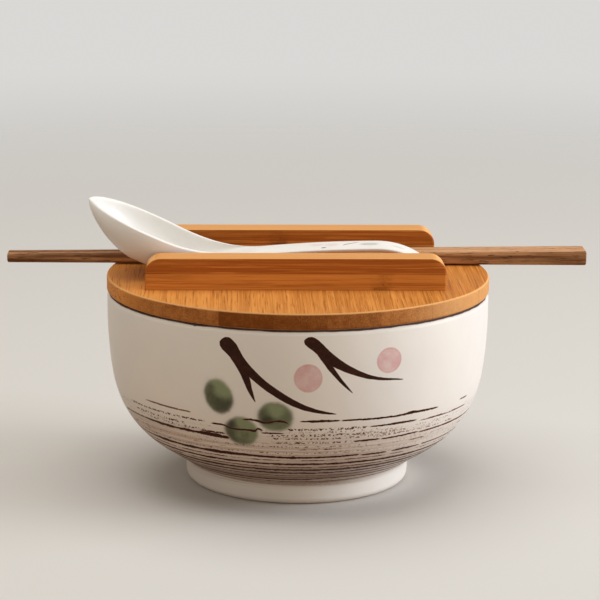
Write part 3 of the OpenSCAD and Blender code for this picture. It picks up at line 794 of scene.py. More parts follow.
@dataclass(frozen=True)
class Bamboo:
    """Carbonised bamboo: glued strips, fine fibres, dark vessel dashes, end grain and now and then a node.

    A node is given by its place along the fibres and the range of the strip that it is on. The slope of painted light
    makes the tint deeper towards +x and paler towards -x, and the side that faces +x takes a share of the pale colour
    of the painted edge highlight, which also lies along the rounded top edges. A top colour, where given, is painted
    light that makes the faces that look up paler.
    """

    name: str
    grain: Grain
    pale: Colour
    deep: Colour
    dash: Colour
    strip_axis: int
    strip_width: float
    strip_first: float
    dash_share: float
    seam_share: float
    phase: float
    strip_contrast: float
    nodes: tuple[Triple, ...] = ()
    cut_deep: Colour = (0.20, 0.056, 0.009)
    cut_pale: Colour = (0.62, 0.25, 0.070)
    top: Union[Colour, None] = None
    painted_edge_highlight: Colour = (0.84, 0.47, 0.19)
    painted_light_slope: float = 0.0
    painted_flank_light: float = 0.0

    def make(self) -> bpy.types.Material:
        """Builds the bamboo.

        Returns:
            The material.
        """
        shader = Shader(self.name, roughness=0.55, colour=self.pale, gloss=0.06)
        parts, facing = (shader.x, shader.y, shader.z), shader.facing()
        along, across, up = (parts[k] for k in self.grain.value)
        place = (parts[self.strip_axis] - self.strip_first) / self.strip_width
        turned = place.math("FLOOR", place) * 12.9898 + self.phase
        tone = turned.math("FRACT", turned.math("SINE", turned) * 437.585)
        shifted = shader.node("ShaderNodeCombineXYZ", {}, {0: along + tone * 90.0, 1: across, 2: up})
        fibre = shader.noise((0.018, 2.5, 2.5), 3.0, 0.6, 1.0, shifted)
        broad = shader.noise((0.006, 0.32, 0.32), 2.0, 0.5, 2.0, shifted)
        dashes = shader.noise((0.035, 1.3, 1.3), 2.0, 0.6, 3.0, shifted)
        ends = abs(facing[self.grain.value[0]]).step(0.35, 0.7)

        tint = 0.5 * fibre.step(0.3, 0.7) + 0.5 * broad.step(0.25, 0.75) + (tone - 0.5) * self.strip_contrast
        # Painted light: the tint deepens towards +x and pales towards -x, evening out the light across the lid.
        colour = shader.blend((tint - shader.x * self.painted_light_slope).step(0.12, 0.88), self.deep, self.pale)
        colour = shader.blend(dashes.step(0.54, 0.66) * (1.0 - ends) * self.dash_share, colour, self.dash)
        colour = shader.blend(dashes.step(0.44, 0.32) * (1.0 - ends) * 0.45, colour, dim(self.pale, 1.22))
        dots, blotch = shader.noise(1.9, 2.0, 0.5, 4.0), shader.noise(0.33, 2.0, 0.5, 6.0)
        cut = (0.62 * tone + 0.5 * (blotch - 0.5) + 0.7 * (dots - 0.5)).step(-0.05, 0.95)
        colour = shader.blend(ends, colour, shader.blend(cut, self.cut_deep, self.cut_pale))
        # Painted highlight: the side that faces +x is paler, as if lit from the right.
        colour = shader.blend(facing[0].step(0.45, 0.8) * self.painted_flank_light, colour, self.painted_edge_highlight)
        seam = (abs(place - place.math("ROUND", place)) * self.strip_width).step(0.24, 0.08)
        colour = shader.blend(seam * self.seam_share, colour, dim(self.deep, 0.45))
        colour = self.with_nodes(shader, colour, along, parts[self.strip_axis])
        # Painted light: faces that look up take a paler top colour, standing in for the light on the tops.
        if self.top is not None:
            paler = shader.blend(fibre.step(0.3, 0.7), dim(self.top, 0.86), self.top)
            colour = shader.blend(facing[2].step(0.35, 0.85) * 0.85, colour, paler)
        # Painted highlight along the rounded top edges, where they would catch the light.
        edge_highlight_mask = facing[2].step(0.35, 0.6) * facing[2].step(0.97, 0.85)
        colour = shader.blend(edge_highlight_mask * 0.65, colour, self.painted_edge_highlight)
        relief = fibre * 0.5 + dashes * 0.5 - seam * 0.6
        shader.feed(colour, 0.60 - 0.12 * fibre + ends * 0.12, relief, 0.00011)
        return shader.material

    def with_nodes(self, shader: Shader, colour: Wire, along: Wire, other: Wire) -> Wire:
        """Adds the nodes: a cloudy smudge across the fibres, darkest at its foot, with a faint wavy thread.

        Args:
            shader: the shader.
            colour: the colour so far.
            along: the way along the fibres.
            other: the way across the strips.

        Returns:
            The colour with the nodes.
        """
        waver = shader.noise(0.4, 2.0, 0.6, 41.0) - 0.5
        cloud = shader.noise((0.25, 0.9, 0.9), 2.0, 0.6, 43.0)
        for at, low, high in self.nodes:
            away = abs(along + waver * 6.0 - at)
            inside = other.step(low - 0.4, low + 0.4) * other.step(high + 0.4, high - 0.4)
            smudge = away.step(7.0, 0.5) * cloud.step(0.3, 0.65) * inside
            foot = away.step(5.0, 1.0) * other.step(low + 2.6, low + 0.5) * inside
            thread = away.step(0.7, 0.1) * cloud.step(0.6, 0.45) * inside
            colour = shader.blend(smudge * 0.34, colour, dim(self.deep, 0.6))
            colour = shader.blend(foot * 0.5 | thread * 0.4, colour, dim(self.deep, 0.4))
        return colour


@dataclass(frozen=True)
class DarkWood:
    """Dark hardwood with long streaks and short open pores along the stick, and a painted sheen on its top faces."""

    name: str
    shift: float
    pale: Colour = (0.55, 0.28, 0.125)
    # Colour of the painted sheen on the top faces.
    top: Colour = (0.68, 0.38, 0.20)
    deep: Colour = (0.150, 0.056, 0.020)
    pore: Colour = (0.035, 0.012, 0.006)

    def make(self) -> bpy.types.Material:
        """Builds the wood.

        Returns:
            The material.
        """
        shader = Shader(self.name, roughness=0.5, colour=self.deep, gloss=0.1)
        streaks = shader.noise((0.018, 0.9, 0.9), 4.0, 0.6, 1.0 + self.shift)
        bands = shader.noise((0.007, 0.3, 0.3), 2.0, 0.5, 2.0 + self.shift)
        pores = shader.noise((0.16, 2.3, 2.3), 2.0, 0.6, 3.0 + self.shift).step(0.58, 0.66)
        colour = shader.blend((0.6 * streaks + 0.4 * bands).step(0.36, 0.66), self.deep, self.pale)
        # Painted sheen: top faces take the top colour, fading out towards the round tip.
        top_sheen_mask = shader.facing()[2].step(0.6, 0.95) * (0.35 + 0.5 * streaks) * shader.x.step(-90.0, 60.0)
        colour = shader.blend(pores * 0.7, shader.blend(top_sheen_mask, colour, self.top), self.pore)
        shader.feed(colour, 0.46 + 0.14 * streaks, streaks * 0.5 - pores * 0.6, 0.00012)
        return shader.material


@dataclass(frozen=True)
class Plain:
    """A finish of one tint, a little darker in places: by its noise, which may be sharpened between two values."""

    name: str
    tint: Colour
    shade: float
    stretch: Triple
    softness: float
    sharpened: Union[Pair, None]
    roughness: Triple
    depth: float
    metallic: float = 0.0

    def make(self) -> bpy.types.Material:
        """Builds the finish.

        Returns:
            The material.
        """
        plain, low, spread = self.roughness
        shader = Shader(self.name, plain, self.tint)
        noise = shader.noise(self.stretch, 2.0, self.softness, 1.0)
        mask = noise.step(*self.sharpened) if self.sharpened else noise
        shader.feed(shader.blend(mask, dim(self.tint, self.shade), self.tint), low + spread * noise, noise, self.depth)
        shader.surface.inputs["Metallic"].default_value = self.metallic
        return shader.material


SILICONE = Plain(
    "milky_silicone", (0.78, 0.77, 0.74), 0.93, (0.12, 0.12, 0.4), 0.5, (0.3, 0.7), (0.42, 0.38, 0.1), 0.00004
)
STEEL = Plain("screw_steel", (0.60, 0.59, 0.57), 0.8, (0.4, 0.4, 4.0), 0.6, None, (0.32, 0.26, 0.16), 0.00002, 1.0)


@dataclass
class Piece:
    """A finished mesh: its name, body and slot, the CAD nodes that it stands for, and the angle of a sharp edge."""

    name: str
    body: str
    slot: str
    stands_for: tuple[str, ...]
    sharp: float = 35.0

    def build(self, points: np.ndarray, faces: list, finish: bpy.types.Material, caps: tuple = ()) -> bpy.types.Object:
        """Makes the mesh, dresses it, and ties it to its body.

        Args:
            points: the points, in millimetres.
            faces: arrays of quads.
            finish: the material.
            caps: closed outlines of flat ends, as lists of indices.

        Returns:
            The object.
        """
        mesh = closed_mesh(self.name, points, np.concatenate(faces).tolist() + [list(cap) for cap in caps])
        mesh.polygons.foreach_set("use_smooth", [len(face.vertices) <= 4 for face in mesh.polygons])
        mesh.set_sharp_from_angle(angle=math.radians(self.sharp))
        mesh.materials.append(finish)
        piece = put(self.name, mesh)
        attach(piece, self.body)
        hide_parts(*self.stands_for)
        log.info("%s: %d faces on body %s", self.name, len(mesh.polygons), self.body)
        return piece


@dataclass
class Bowl:
    """The ceramic bowl, with its foot, belly, rounded rim and inside.

    The flare, the upright band and the arcs, each a radius and the slope at its end, are drawn to one scale of their
    own, and then fitted between the foot and the rim. The hollow's round and lean are shares of its depth.
    """

    diameter: float = 155.6
    height: float = 78.8
    wall: float = 4.5
    floor_thickness: float = 5.5
    flare_slope: float = 34.3
    foot_diameter: float = 92.0
    foot_height: float = 9.3
    foot_taper: float = 0.4
    foot_edge: float = 3.1
    land_width: float = 3.4
    land_edge: float = 0.4
    hollow: float = 4.6
    hollow_round: float = 0.4
    hollow_lean: float = 0.3
    foot_fillet: float = 2.6
    flare_share: float = 0.1755
    upright_share: float = 0.081
    belly_arcs: tuple[Pair, ...] = ((0.576, 70.0), (0.791, 82.0), (2.59, 90.0))
    facets: int = 240

    def belly(self) -> np.ndarray:
        """The outside from foot to rim: a straight flare, arcs that each start at the last slope, an upright band.

        Returns:
            Points of radius and height.
        """
        line = [np.zeros((1, 2)), self.flare_share * np.array([[1, math.tan(math.radians(self.flare_slope))]])]
        slope = self.flare_slope
        for radius, end in self.belly_arcs:
            start = np.radians(slope - 90)
            centre = line[-1][-1] - radius * np.array([np.cos(start), np.sin(start)])
            line.append(arc(centre, radius, slope - 90, end - 90, 24)[1:])
            slope = end
        shape = np.concatenate(line + [line[-1][-1:] + [[0, self.upright_share]]])
        room = np.array([(self.diameter - self.foot_diameter) / 2, self.height - self.wall / 2 - self.foot_height])
        return np.array([self.foot_diameter / 2, self.foot_height]) + room * shape / shape[-1]

    def foot(self, flare: float) -> np.ndarray:
        """The foot: its hollow, the flat ring, the rounded edge and the line of glaze under the flare.

        Args:
            flare: slope of the flare, in degrees.

        Returns:
            Points of radius and height.
        """
        low = self.foot_diameter / 2 - self.foot_taper - self.foot_edge
        land = low - self.land_width
        fillet, lean = self.hollow_round * self.hollow, self.hollow_lean * self.hollow
        reach = self.foot_fillet * math.tan(math.radians(90 - flare) / 2)
        under_flare = (self.foot_diameter / 2 + self.foot_fillet, self.foot_height - reach)
        return np.concatenate(
            [
                [[0, self.hollow], [land / 2, self.hollow]],
                arc((land - lean - fillet, self.hollow - fillet), fillet, 90, 0, 10),
                arc((land + self.land_edge, self.land_edge), self.land_edge, 180, 270, 4),
                arc((low, self.foot_edge), self.foot_edge, -90, 0, 12),
                arc(under_flare, self.foot_fillet, 180, 90 + flare, 10),
            ]
        )

    def profile(self) -> np.ndarray:
        """The whole section, from the middle of the hollow round the rim to the middle of the floor.

        The inside repeats the outside moved in by the wall, and the floor is a power curve of the radius.

        Returns:
            Points of radius and height.
        """
        outside = self.belly()
        direction = np.gradient(outside, axis=0)
        direction /= np.linalg.norm(direction, axis=1)[:, None]
        inside = (outside + self.wall * np.stack([-direction[:, 1], direction[:, 0]], axis=1))[1:-1]
        (meet_r, meet_z), slope = inside[0], direction[1]
        floor_z = self.hollow + self.floor_thickness
        power = slope[1] / slope[0] * meet_r / (meet_z - floor_z)
        share = 1 - np.linspace(0, 1, 25)[1:]
        floor = np.stack([meet_r * share, floor_z + (meet_z - floor_z) * share**power], axis=1)
        rim = self.wall / 2
        flare = math.degrees(math.atan2(direction[0, 1], direction[0, 0]))
        top = arc((self.diameter / 2 - rim, self.height - rim), rim, 0, 180, 20)
        return np.concatenate([self.foot(flare), outside[1:-1], top, inside[::-1], floor])

    def build(self) -> None:
        """Builds and dresses the bowl."""
        points, quads = revolve(self.profile(), self.facets)
        Piece("bowl_body", "bowl", "bowl_glaze", ("bowl",), sharp=60.0).build(points, [quads], PaintedGlaze().make())


@dataclass
class Lid:
    """The bamboo disc with the step under it, and the silicone ring in its groove.

    The screw holes are cut from an overcut below the step up to a skin that the rails cover. The ring has a play in
    its groove, and its lips grow from its root at their places, as shares of its height.
    """

    radius: float = 78.0
    under: float = 79.0
    top: float = 85.5
    edge: float = 1.1
    plug_radius: float = 72.2
    plug_low: float = 74.0
    plug_chamfer: float = 0.45
    groove_low: float = 74.9
    groove_high: float = 78.1
    groove_radius: float = 70.0
    mouth_radius: float = 73.3
    seal_play: float = 0.1
    seal_root: float = 1.65
    seal_facets: int = 180
    lip_places: Pair = (0.28, 0.72)
    lip: float = 0.7
    lip_gap: float = 0.3
    lip_rise: float = 0.384
    screw_x: Pair = (-37.54, 33.94)
    screw_y: float = 30.35
    head_radius: float = 3.6
    hole_radius: float = 1.85
    hole_facets: int = 48
    sink: float = 0.42
    overcut: float = 0.5
    skin: float = 0.8
    facets: int = 240

    def board(self) -> Bamboo:
        """The disc's bamboo, in strips that run from front to back."""
        # Painted light: paler towards -x and deeper towards +x, with a painted highlight on the side that faces +x.
        return Bamboo(
            "lid_bamboo", Grain.ALONG_Y, (0.70, 0.285, 0.064), (0.50, 0.176, 0.031), (0.32, 0.100, 0.016),
            strip_axis=0, strip_width=20.6, strip_first=-73.4, dash_share=0.75, seam_share=0.12, phase=6.0615,
            strip_contrast=0.12, painted_light_slope=0.0044, painted_flank_light=0.5,
        )

    def panel(self) -> np.ndarray:
        """Section of the disc: chamfered step, groove, and quarter rounds on the outer edges.

        Returns:
            Points of radius and height.
        """
        plug, groove, low = self.plug_radius, self.groove_radius, self.plug_low
        return np.concatenate(
            [
                [[0, low], [plug - self.plug_chamfer, low], [plug, low + self.plug_chamfer]],
                [[plug, self.groove_low], [groove, self.groove_low], [groove, self.groove_high]],
                [[plug, self.groove_high], [plug, self.under]],
                arc((self.radius - self.edge, self.under + self.edge), self.edge, -90, 0, 8),
                arc((self.radius - self.edge, self.top - self.edge), self.edge, 0, 90, 8),
                [[0, self.top]],
            ]
        )

    def seal(self) -> np.ndarray:
        """Section of the ring: a flat back in the groove and two upturned lips with round ends.

        Returns:
            Points of radius and height, closed.
        """
        back, root = self.groove_radius + self.seal_play, self.groove_radius + self.seal_root
        low, high = self.groove_low + self.seal_play, self.groove_high - self.seal_play
        tip, half = self.mouth_radius - self.lip_gap - self.lip / 2, self.lip / 2
        outline = [[[back, low], [root, low]]]
        for z in (low + share * (high - low) for share in self.lip_places):
            outline += [[[root, z - half]], arc((tip, z + self.lip_rise), half, -90, 90, 8), [[root, z + half]]]
        return np.concatenate(outline + [[[root, high], [back, high], [back, low]]])

    def drill(self, panel: bpy.types.Object) -> None:
        """Cuts the four countersunk screw holes from below, and keeps the result as the panel's mesh.

        Args:
            panel: the disc.
        """
        low, high, neck = self.plug_low - self.overcut, self.top - self.skin, self.plug_low + self.sink
        section = [[0, low], [self.head_radius, low], [self.head_radius, neck]]
        section += [[self.hole_radius, neck + self.head_radius - self.hole_radius], [self.hole_radius, high], [0, high]]
        points, quads = revolve(np.array(section), self.hole_facets)
        places = [(x, y, 0) for x in self.screw_x for y in (-self.screw_y, self.screw_y)]
        faces = np.concatenate([quads + k * len(points) for k in range(len(places))]).tolist()
        cutter = put("cutter", closed_mesh("cutter", np.concatenate([points + place for place in places]), faces))
        cut = panel.modifiers.new("screw holes", "BOOLEAN")
        cut.operation, cut.solver, cut.object = "DIFFERENCE", "EXACT", cutter
        drilled = bpy.data.meshes.new_from_object(panel.evaluated_get(bpy.context.evaluated_depsgraph_get()))
        panel.modifiers.clear()
        panel.data = drilled
        drilled.set_sharp_from_angle(angle=math.radians(Piece.sharp))
        bpy.data.objects.remove(cutter)

    def build(self) -> None:
        """Builds and dresses the disc and the ring."""
        points, quads = revolve(self.panel(), self.facets)
        self.drill(Piece("lid_board", "lid", "lid_bamboo", ("lid_panel",)).build(points, [quads], self.board().make()))
        points, quads = revolve(self.seal(), self.seal_facets)
        Piece("lid_ring", "lid", "silicone", ("lid_seal",)).build(points, [quads], SILICONE.make())


@dataclass
class Rail:
    """One bamboo bar on the lid, of two strips glued on top of each other."""

    side: Side
    nodes: tuple[Triple, ...]
    length: float = 119.14
    width: float = 11.0
    height: float = 13.0
    middle_x: float = -1.8
    offset_y: float = 30.35
    base: float = 85.5
    corner: float = 6.5
    ease: float = 0.8
    flat_points: int = 25
    corner_steps: int = 16
    edge_points: int = 7

    def finish(self) -> Bamboo:
        """The bar's bamboo, with the seam at half its height."""
        # The top colour is painted light that makes the bar's top faces paler.
        return Bamboo(
            f"rail_bamboo_{self.side.value}", Grain.ALONG_X,
            (0.66, 0.245, 0.046), (0.40, 0.108, 0.016), (0.25, 0.060, 0.008),
            strip_axis=2, strip_width=self.height / 2, strip_first=self.base + 0.02, dash_share=0.32, seam_share=0.4,
            phase=4.76, strip_contrast=0.62, nodes=self.nodes,
            cut_deep=(0.36, 0.10, 0.016), cut_pale=(0.60, 0.22, 0.045), top=(0.81, 0.39, 0.122),
        )

    def outline(self, drawn_in: float) -> np.ndarray:
        """Outline seen from the front, drawn in on its ends and top by some ease.

        Args:
            drawn_in: how far it is drawn in.

        Returns:
            Points of x and height above the lid.
        """
        x, z, r = self.length / 2 - drawn_in, self.height - drawn_in, self.corner - drawn_in
        bottom = np.stack([np.linspace(-x, x, self.flat_points), np.zeros(self.flat_points)], axis=1)
        top = np.stack([np.linspace(x - r, r - x, self.flat_points), np.full(self.flat_points, z)], axis=1)[1:-1]
        ends = ((x - r, 0), (r - x, 90))
        right, left = (arc((middle, z - r), r, turn, turn + 90, self.corner_steps) for middle, turn in ends)
        return np.concatenate([bottom, right, top, left])

    def build(self) -> None:
        """Builds the bar: outlines carried from its front face to its back, through a quarter round at each edge."""
        node, half = f"{self.side.value}_rail", self.width / 2
        turn = np.radians(np.linspace(0, 90, self.edge_points))
        rows = [(self.ease * (1 - math.sin(a)), -half + self.ease * (1 - math.cos(a))) for a in turn]
        rows += [(drawn, -y) for drawn, y in reversed(rows)]
        middle_y = -self.offset_y if self.side is Side.FRONT else self.offset_y
        flats = [(self.outline(drawn).T, middle_y + y) for drawn, y in rows]
        rings = [np.stack([x + self.middle_x, np.full(len(x), y), z + self.base], axis=1) for (x, z), y in flats]
        points, count = np.concatenate(rings), len(rings[0])
        caps = (range(count), range(len(points) - count, len(points)))
        piece = Piece(f"{node}_bar", "lid", "rail_bamboo", (node,))
        piece.build(points, [grid_quads(len(rings), count)], self.finish().make(), caps)


@dataclass
class Spoon:
    """The ceramic soup spoon: a deep bowl that narrows and bends up into a handle with a hooked tail."""

    width: float = 45.0
    depth: float = 14.2
    wall: float = 2.2
    handle_width: float = 15.0
    handle_depth: float = 2.0
    handle_crown: float = 1.5
    runs: tuple[float, ...] = (37.0, 38.6, 45.2, 27.6)
    turns: tuple[float, ...] = (0.0, 29.3, -4.8, -48.4)
    lean: float = 0.7
    tilt: float = 24.136
    widest_share: float = 0.757
    prow_share: float = 0.676
    heel_share: float = 1.03
    neck_share: float = 0.95
    tail_round_share: float = 0.43
    plan_powers: Pair = (2.4, 1.6)
    prow_powers: Pair = (1.5, 1.35)
    section_power: float = 2.6
    crown_share: float = 0.3
    rows: int = 230
    columns: int = 48
    spine_points: int = 6001
    rim_points: int = 13

    def spine(self, places: np.ndarray) -> tuple[np.ndarray, np.ndarray, np.ndarray]:
        """The chain of arcs along the spoon: the slope is linear in each run, and the point is its integral.

        Args:
            places: ways along the spine.

        Returns:
            x, z and slope in radians at those places.
        """
        joins = np.concatenate([[0], np.cumsum(self.runs)])
        fine = np.linspace(0, joins[-1], self.spine_points)
        angle = np.interp(fine, joins, np.radians(np.concatenate([[0], np.cumsum(self.turns)])))
        middle = (angle[1:] + angle[:-1]) / 2
        x, z = (np.concatenate([[0], np.cumsum(np.diff(fine) * part(middle))]) for part in (np.cos, np.sin))
        return np.interp(places, fine, x), np.interp(places, fine, z), np.interp(places, fine, angle)

    def places(self) -> np.ndarray:
        """The places of the rows along the outer surface, crowded towards the tip and the tail by a cosine."""
        return sum(self.runs) * (1 - np.cos(np.pi * np.linspace(0, 1, self.rows))) / 2

    def on_handle(self, places: np.ndarray) -> np.ndarray:
        """How far each place is on the way from the spoon's bowl, 0, to its handle, 1: a cosine step."""
        heel, neck = self.heel_share * self.runs[0], self.runs[0] + self.neck_share * self.runs[1]
        return ease(0, 1, (places - heel) / (neck - heel))

    def tail_taper(self, places: np.ndarray, inset: float) -> np.ndarray:
        """Share of the width that is left on the round tail: a quarter circle over its last stretch."""
        left = (sum(self.runs) - inset - places) / (self.tail_round_share * self.runs[3] - inset)
        return np.sqrt(1 - (1 - np.clip(left, 0, 1)) ** 2)

    def section(self, places: np.ndarray, inset: float) -> tuple[np.ndarray, np.ndarray]:
        """Half width and depth: power curves at the front, a cosine step to the handle, and a round tail.

        Args:
            places: ways along the spine.
            inset: how far inside the outer surface, 0 or the wall, where the handle has no depth.

        Returns:
            Half widths and depths.
        """
        widest, prow = self.widest_share * self.runs[0], self.prow_share * self.runs[0]
        neck = self.runs[0] + self.neck_share * self.runs[1]
        handle_depth = self.handle_depth if inset == 0 else 0.0

        def front(full: float, reach: float, powers: Pair) -> np.ndarray:
            """A power curve from nothing at the tip to its full size at its reach."""
            share = np.clip((places - inset) / (reach - inset), 0, 1)
            return full * (1 - (1 - share) ** powers[0]) ** (1 / powers[1])

        taper = self.tail_taper(places, inset)
        half, deep = self.width / 2 - inset, self.depth - inset
        back = ease(half, self.handle_width / 2 - inset, (places - widest) / (neck - widest)) * taper
        under = (deep + (handle_depth - deep) * self.on_handle(places)) * np.sqrt(taper)
        return (
            np.where(places < widest, front(half, widest, self.plan_powers), back),
            np.where(places < prow, front(deep, prow, self.prow_powers), under),
        )

    def shell(self, inset: float) -> np.ndarray:
        """One surface, outer or inner: half superellipses hung under the spine.

        Args:
            inset: how far inside the outer surface, 0 or the wall.

        Returns:
            A grid of rows by columns of points.
        """
        length = sum(self.runs)
        places = inset + self.places() * (length - 2 * inset) / length
        x, z, slope = (part[:, None] for part in self.spine(places))
        half, deep = (part[:, None] for part in self.section(places, inset))
        across, down = squared(np.linspace(0, np.pi, self.columns), self.section_power)
        drop = deep * np.abs(down)
        return np.stack([x + drop * np.sin(slope), -half * across, z - drop * np.cos(slope)], axis=-1)

    def crowned(self, points: np.ndarray, places: np.ndarray) -> np.ndarray:
        """Raises the handle's top by half an ellipse across it: crown * sqrt(taper * (1 - (y / half width)^2)).

        Args:
            points: rows of points over the edges.
            places: the place of each row along the spine.

        Returns:
            The raised points.
        """
        half = np.maximum(self.section(places, 0.0)[0], 1e-9)[:, None]
        share = np.maximum(0, 1 - (points[..., 1] / half) ** 2)
        crown = (self.on_handle(places) * self.handle_crown)[:, None]
        raised = points.copy()
        raised[..., 2] += crown * np.sqrt(self.tail_taper(places, 0.0)[:, None] * share)
        return raised

    def rim(self, outside: np.ndarray, inside: np.ndarray) -> np.ndarray:
        """The rounded rim: half an ellipse over the wall, from the outer edge to the inner one, all the way round.

        Args:
            outside: the outer surface.
            inside: the inner surface, before the handle's crown.

        Returns:
            A grid of points, the way round by steps over the wall.
        """
        outer, inner = (np.concatenate([side[:, 0], side[-2:0:-1, -1]]) for side in (outside, inside))
        places = np.concatenate([self.places(), self.places()[-2:0:-1]])
        angle = np.linspace(0, np.pi, self.rim_points)
        grid = ((outer + inner) / 2)[:, None] + ((outer - inner) / 2)[:, None] * np.cos(angle)[None, :, None]
        way = np.linalg.norm(outer - outer[0], axis=1) / self.wall
        height = self.crown_share * self.wall * (1 - np.exp(-way)) * (1 - self.on_handle(places))
        grid[..., 2] += height[:, None] * np.sin(angle)
        return self.crowned(grid, places)

    def lying(self, points: np.ndarray) -> np.ndarray:
        """Turns points the way the spoon lies, and seats it where its solid is.

        Args:
            points: points of the level spoon.

        Returns:
            The points in the part's frame, in millimetres.
        """
        lean, tilt = math.radians(self.lean), math.radians(self.tilt)
        x, y, z = points.T
        y, z = y * math.cos(lean) - z * math.sin(lean), y * math.sin(lean) + z * math.cos(lean)
        x, z = x * math.cos(tilt) + z * math.sin(tilt), z * math.cos(tilt) - x * math.sin(tilt)
        placed = np.stack([x, y, z], axis=1)
        low, high = (np.array(corner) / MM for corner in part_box("spoon"))
        shift = (low + high) / 2 - (placed.min(0) + placed.max(0)) / 2
        shift[2] = low[2] - placed[:, 2].min()
        return placed + shift

    def build(self) -> None:
        """Builds and dresses the spoon."""
        outside, inside = self.shell(0.0), self.shell(self.wall)
        rim = self.rim(outside, inside)
        parts = (outside, self.crowned(inside, self.places()), rim)
        count = self.rows * self.columns
        faces = [grid_quads(self.rows, self.columns, first, (False, False)) for first in (0, count)]
        faces.append(grid_quads(len(rim), rim.shape[1], 2 * count, (True, False)))
        points = self.lying(np.concatenate([part.reshape(-1, 3) for part in parts]))
        Piece("spoon_body", "spoon", "spoon_glaze", ("spoon",), sharp=80.0).build(points, faces, SpoonGlaze().make())


@dataclass
class Chopstick:
    """One wooden chopstick, round at its tip and a rounded square at its handle end."""

    side: Side
    length: float = 240.0
    tip: float = 4.15
    end: float = 6.3
    squareness: float = 4.5
    gap: float = 0.2
    base: float = 85.5
    rounding: float = 0.75
    rings: int = 120
    columns: int = 48
    end_points: int = 9

    def build(self) -> None:
        """Builds the stick: superellipses that grow and get squarer towards the handle, with rounded ends."""
        node, behind = f"{self.side.value}_chopstick", int(self.side is Side.FRONT)
        turn = np.radians(np.linspace(0, 90, self.end_points))
        start, drawn = self.rounding * (1 - np.cos(turn)), self.rounding * (1 - np.sin(turn))
        middle = np.linspace(self.rounding, self.length - self.rounding, self.rings)[1:-1]
        places = np.concatenate([start, middle, self.length - start[::-1]])
        drawn = np.concatenate([drawn, np.zeros(self.rings - 2), drawn[::-1]])
        share = places / self.length
        thick = self.tip + (self.end - self.tip) * share
        power = (2 + (self.squareness - 2) * share)[:, None]
        across, up = squared(np.linspace(0, 2 * np.pi, self.columns, endpoint=False)[None, :], power)
        half = (thick / 2 - drawn)[:, None]
        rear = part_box(f"{self.side.value}_chopstick")[1].y / MM
        y = (rear + behind * self.tip - thick * (0.5 + behind))[:, None] + half * across
        z = (self.base + self.gap + thick / 2)[:, None] + half * up
        x = np.repeat((places - self.length / 2)[:, None], self.columns, axis=1)
        points = np.stack([x, y, z], axis=-1).reshape(-1, 3)
        caps = (range(self.columns), range(len(points) - self.columns, len(points)))
        wood = DarkWood(f"dark_wood_{self.side.value}", 6.0 * behind)
        piece = Piece(f"{node}_stick", node, "dark_wood", (node,), sharp=50.0)
        piece.build(points, [grid_quads(len(places), self.columns)], wood.make(), caps)


@dataclass(frozen=True)
class Lamp:
    """A soft square lamp: its name, its place and its side in metres, its power in watts and its tint."""

    name: str
    place: Triple
    size: float
    power: float
    tint: Colour

    def hang(self, aim: Triple) -> None:
        """Hangs the lamp in its place.

        Args:
            aim: the point that it faces.
        """
        data = bpy.data.lights.new(self.name, "AREA")
        data.shape, data.size, data.energy, data.color = "SQUARE", self.size, self.power, self.tint
        lamp = put(self.name, data)
        lamp.location = self.place
        lamp.rotation_euler = (Vector(aim) - Vector(self.place)).to_track_quat("-Z", "Y").to_euler()


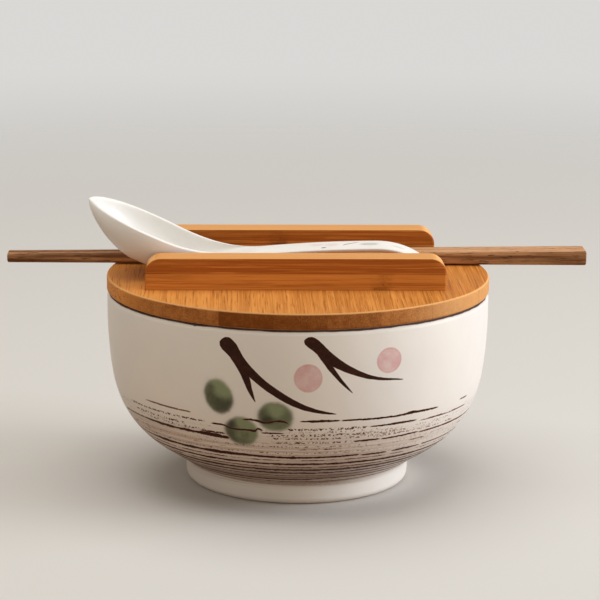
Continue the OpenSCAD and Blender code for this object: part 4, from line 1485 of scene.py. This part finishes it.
@dataclass
class Studio:
    """Floor, lamps, world and camera. The floor's fade is in millimetres, and its radius in metres."""

    floor: Colour = (0.66, 0.645, 0.62)
    floor_bounce: Colour = (0.40, 0.29, 0.21)
    floor_radius: float = 9.0
    floor_corners: int = 64
    floor_fade: Pair = (300.0, 1400.0)
    lamps: tuple[Lamp, ...] = (
        Lamp("window", (1.48, -0.09, 0.44), 0.9, 23.0, (0.88, 0.93, 1.0)),
        Lamp("sky", (-0.14, 0.06, 1.13), 1.2, 8.6, (1.0, 0.985, 0.96)),
        Lamp("fill", (-0.50, -1.12, 0.12), 0.9, 2.0, (1.0, 0.92, 0.82)),
    )
    ambient: float = 0.365
    ambient_tint: Colour = (1.0, 0.89, 0.74)
    backdrop: float = 0.70
    backdrop_tint: Colour = (1.0, 0.985, 0.96)
    aim: Triple = (0.0, 0.0, 0.05)
    eye: Triple = (-28.42, -985.95, 291.165)
    yaw: float = 1.702
    pitch: float = 12.433
    roll: float = 0.4213
    focal_px: float = 2464.083
    frame_px: float = 600.0
    sensor: float = 36.0

    def set_floor(self) -> None:
        """Lays a pale floor that a far circle of the world's own colour meets."""
        angle = np.linspace(0, 2 * np.pi, self.floor_corners, endpoint=False)
        rim = self.floor_radius * np.stack([np.cos(angle), np.sin(angle), 0 * angle], axis=1)
        mesh = bpy.data.meshes.new("floor")
        mesh.from_pydata(rim.tolist(), [], [list(range(len(rim)))])
        shader = Shader("pale_floor", roughness=0.75, colour=self.floor, gloss=0.2)
        seen = shader.seen()
        shader.feed(shader.blend(seen, self.floor_bounce, self.floor))
        shader.fade(((shader.x * shader.x + shader.y * shader.y) ** 0.5).step(*self.floor_fade) & seen)
        mesh.materials.append(shader.material)
        floor = put("floor", mesh)

    def set_world(self) -> None:
        """Lights all round softly, and shows a pale backdrop to the camera."""
        world = bpy.data.worlds.new("studio")
        world.use_nodes = True
        bpy.context.scene.world = world
        nodes = Nodes(world.node_tree)
        seen = nodes.seen()
        levels = {0: seen, "To Min": self.ambient, "To Max": self.backdrop}
        lit = {
            "Strength": nodes.node("ShaderNodeMapRange", {}, levels),
            "Color": nodes.blend(seen, self.ambient_tint, self.backdrop_tint),
        }
        for socket, wire in lit.items():
            nodes.tree.links.new(wire.socket, nodes.first("BACKGROUND").inputs[socket])

    def set_camera(self) -> None:
        """Stands the camera where the photograph was taken from."""
        yaw, pitch, roll = (math.radians(a) for a in (self.yaw, self.pitch, self.roll))
        ahead = Vector((math.cos(pitch) * math.sin(yaw), math.cos(pitch) * math.cos(yaw), -math.sin(pitch)))
        right = Vector((math.cos(yaw), -math.sin(yaw), 0))
        up = right.cross(ahead)
        turned_right = math.cos(roll) * right + math.sin(roll) * up
        turned_up = math.cos(roll) * up - math.sin(roll) * right
        data = bpy.data.cameras.new("camera")
        data.sensor_width = self.sensor
        data.lens = self.focal_px / self.frame_px * self.sensor
        camera = put("camera", data)
        matrix = Matrix((turned_right, turned_up, -ahead)).transposed().to_4x4()
        matrix.translation = Vector(self.eye) * MM
        camera.matrix_world = matrix
        bpy.context.scene.camera = camera

    def build(self) -> None:
        """Sets the floor, the lamps, the world, the camera and the view."""
        self.set_floor()
        for lamp in self.lamps:
            lamp.hang(self.aim)
        self.set_world()
        self.set_camera()
        bpy.context.scene.view_settings.view_transform = "Standard"


def dress_screws() -> None:
    """Gives the screws, which stay as the CAD made them, their steel."""
    steel = STEEL.make()
    for side in Side:
        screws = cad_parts[f"{side.value}_rail_screws"]
        screws.data.materials.clear()
        screws.data.materials.append(steel)
        log.info("%s: steel", screws.name)


def main() -> None:
    """Builds the sub-assemblies in order."""
    logging.basicConfig(level=logging.INFO, format="%(message)s")
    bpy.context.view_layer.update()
    Studio().build()
    Bowl().build()
    Lid().build()
    Rail(Side.FRONT, ((32.5, 85.5, 92.0),)).build()
    Rail(Side.REAR, ((-7.0, 92.0, 98.5),)).build()
    Spoon().build()
    Chopstick(Side.FRONT).build()
    Chopstick(Side.REAR).build()
    dress_screws()


if __name__ == "__main__":
    main()
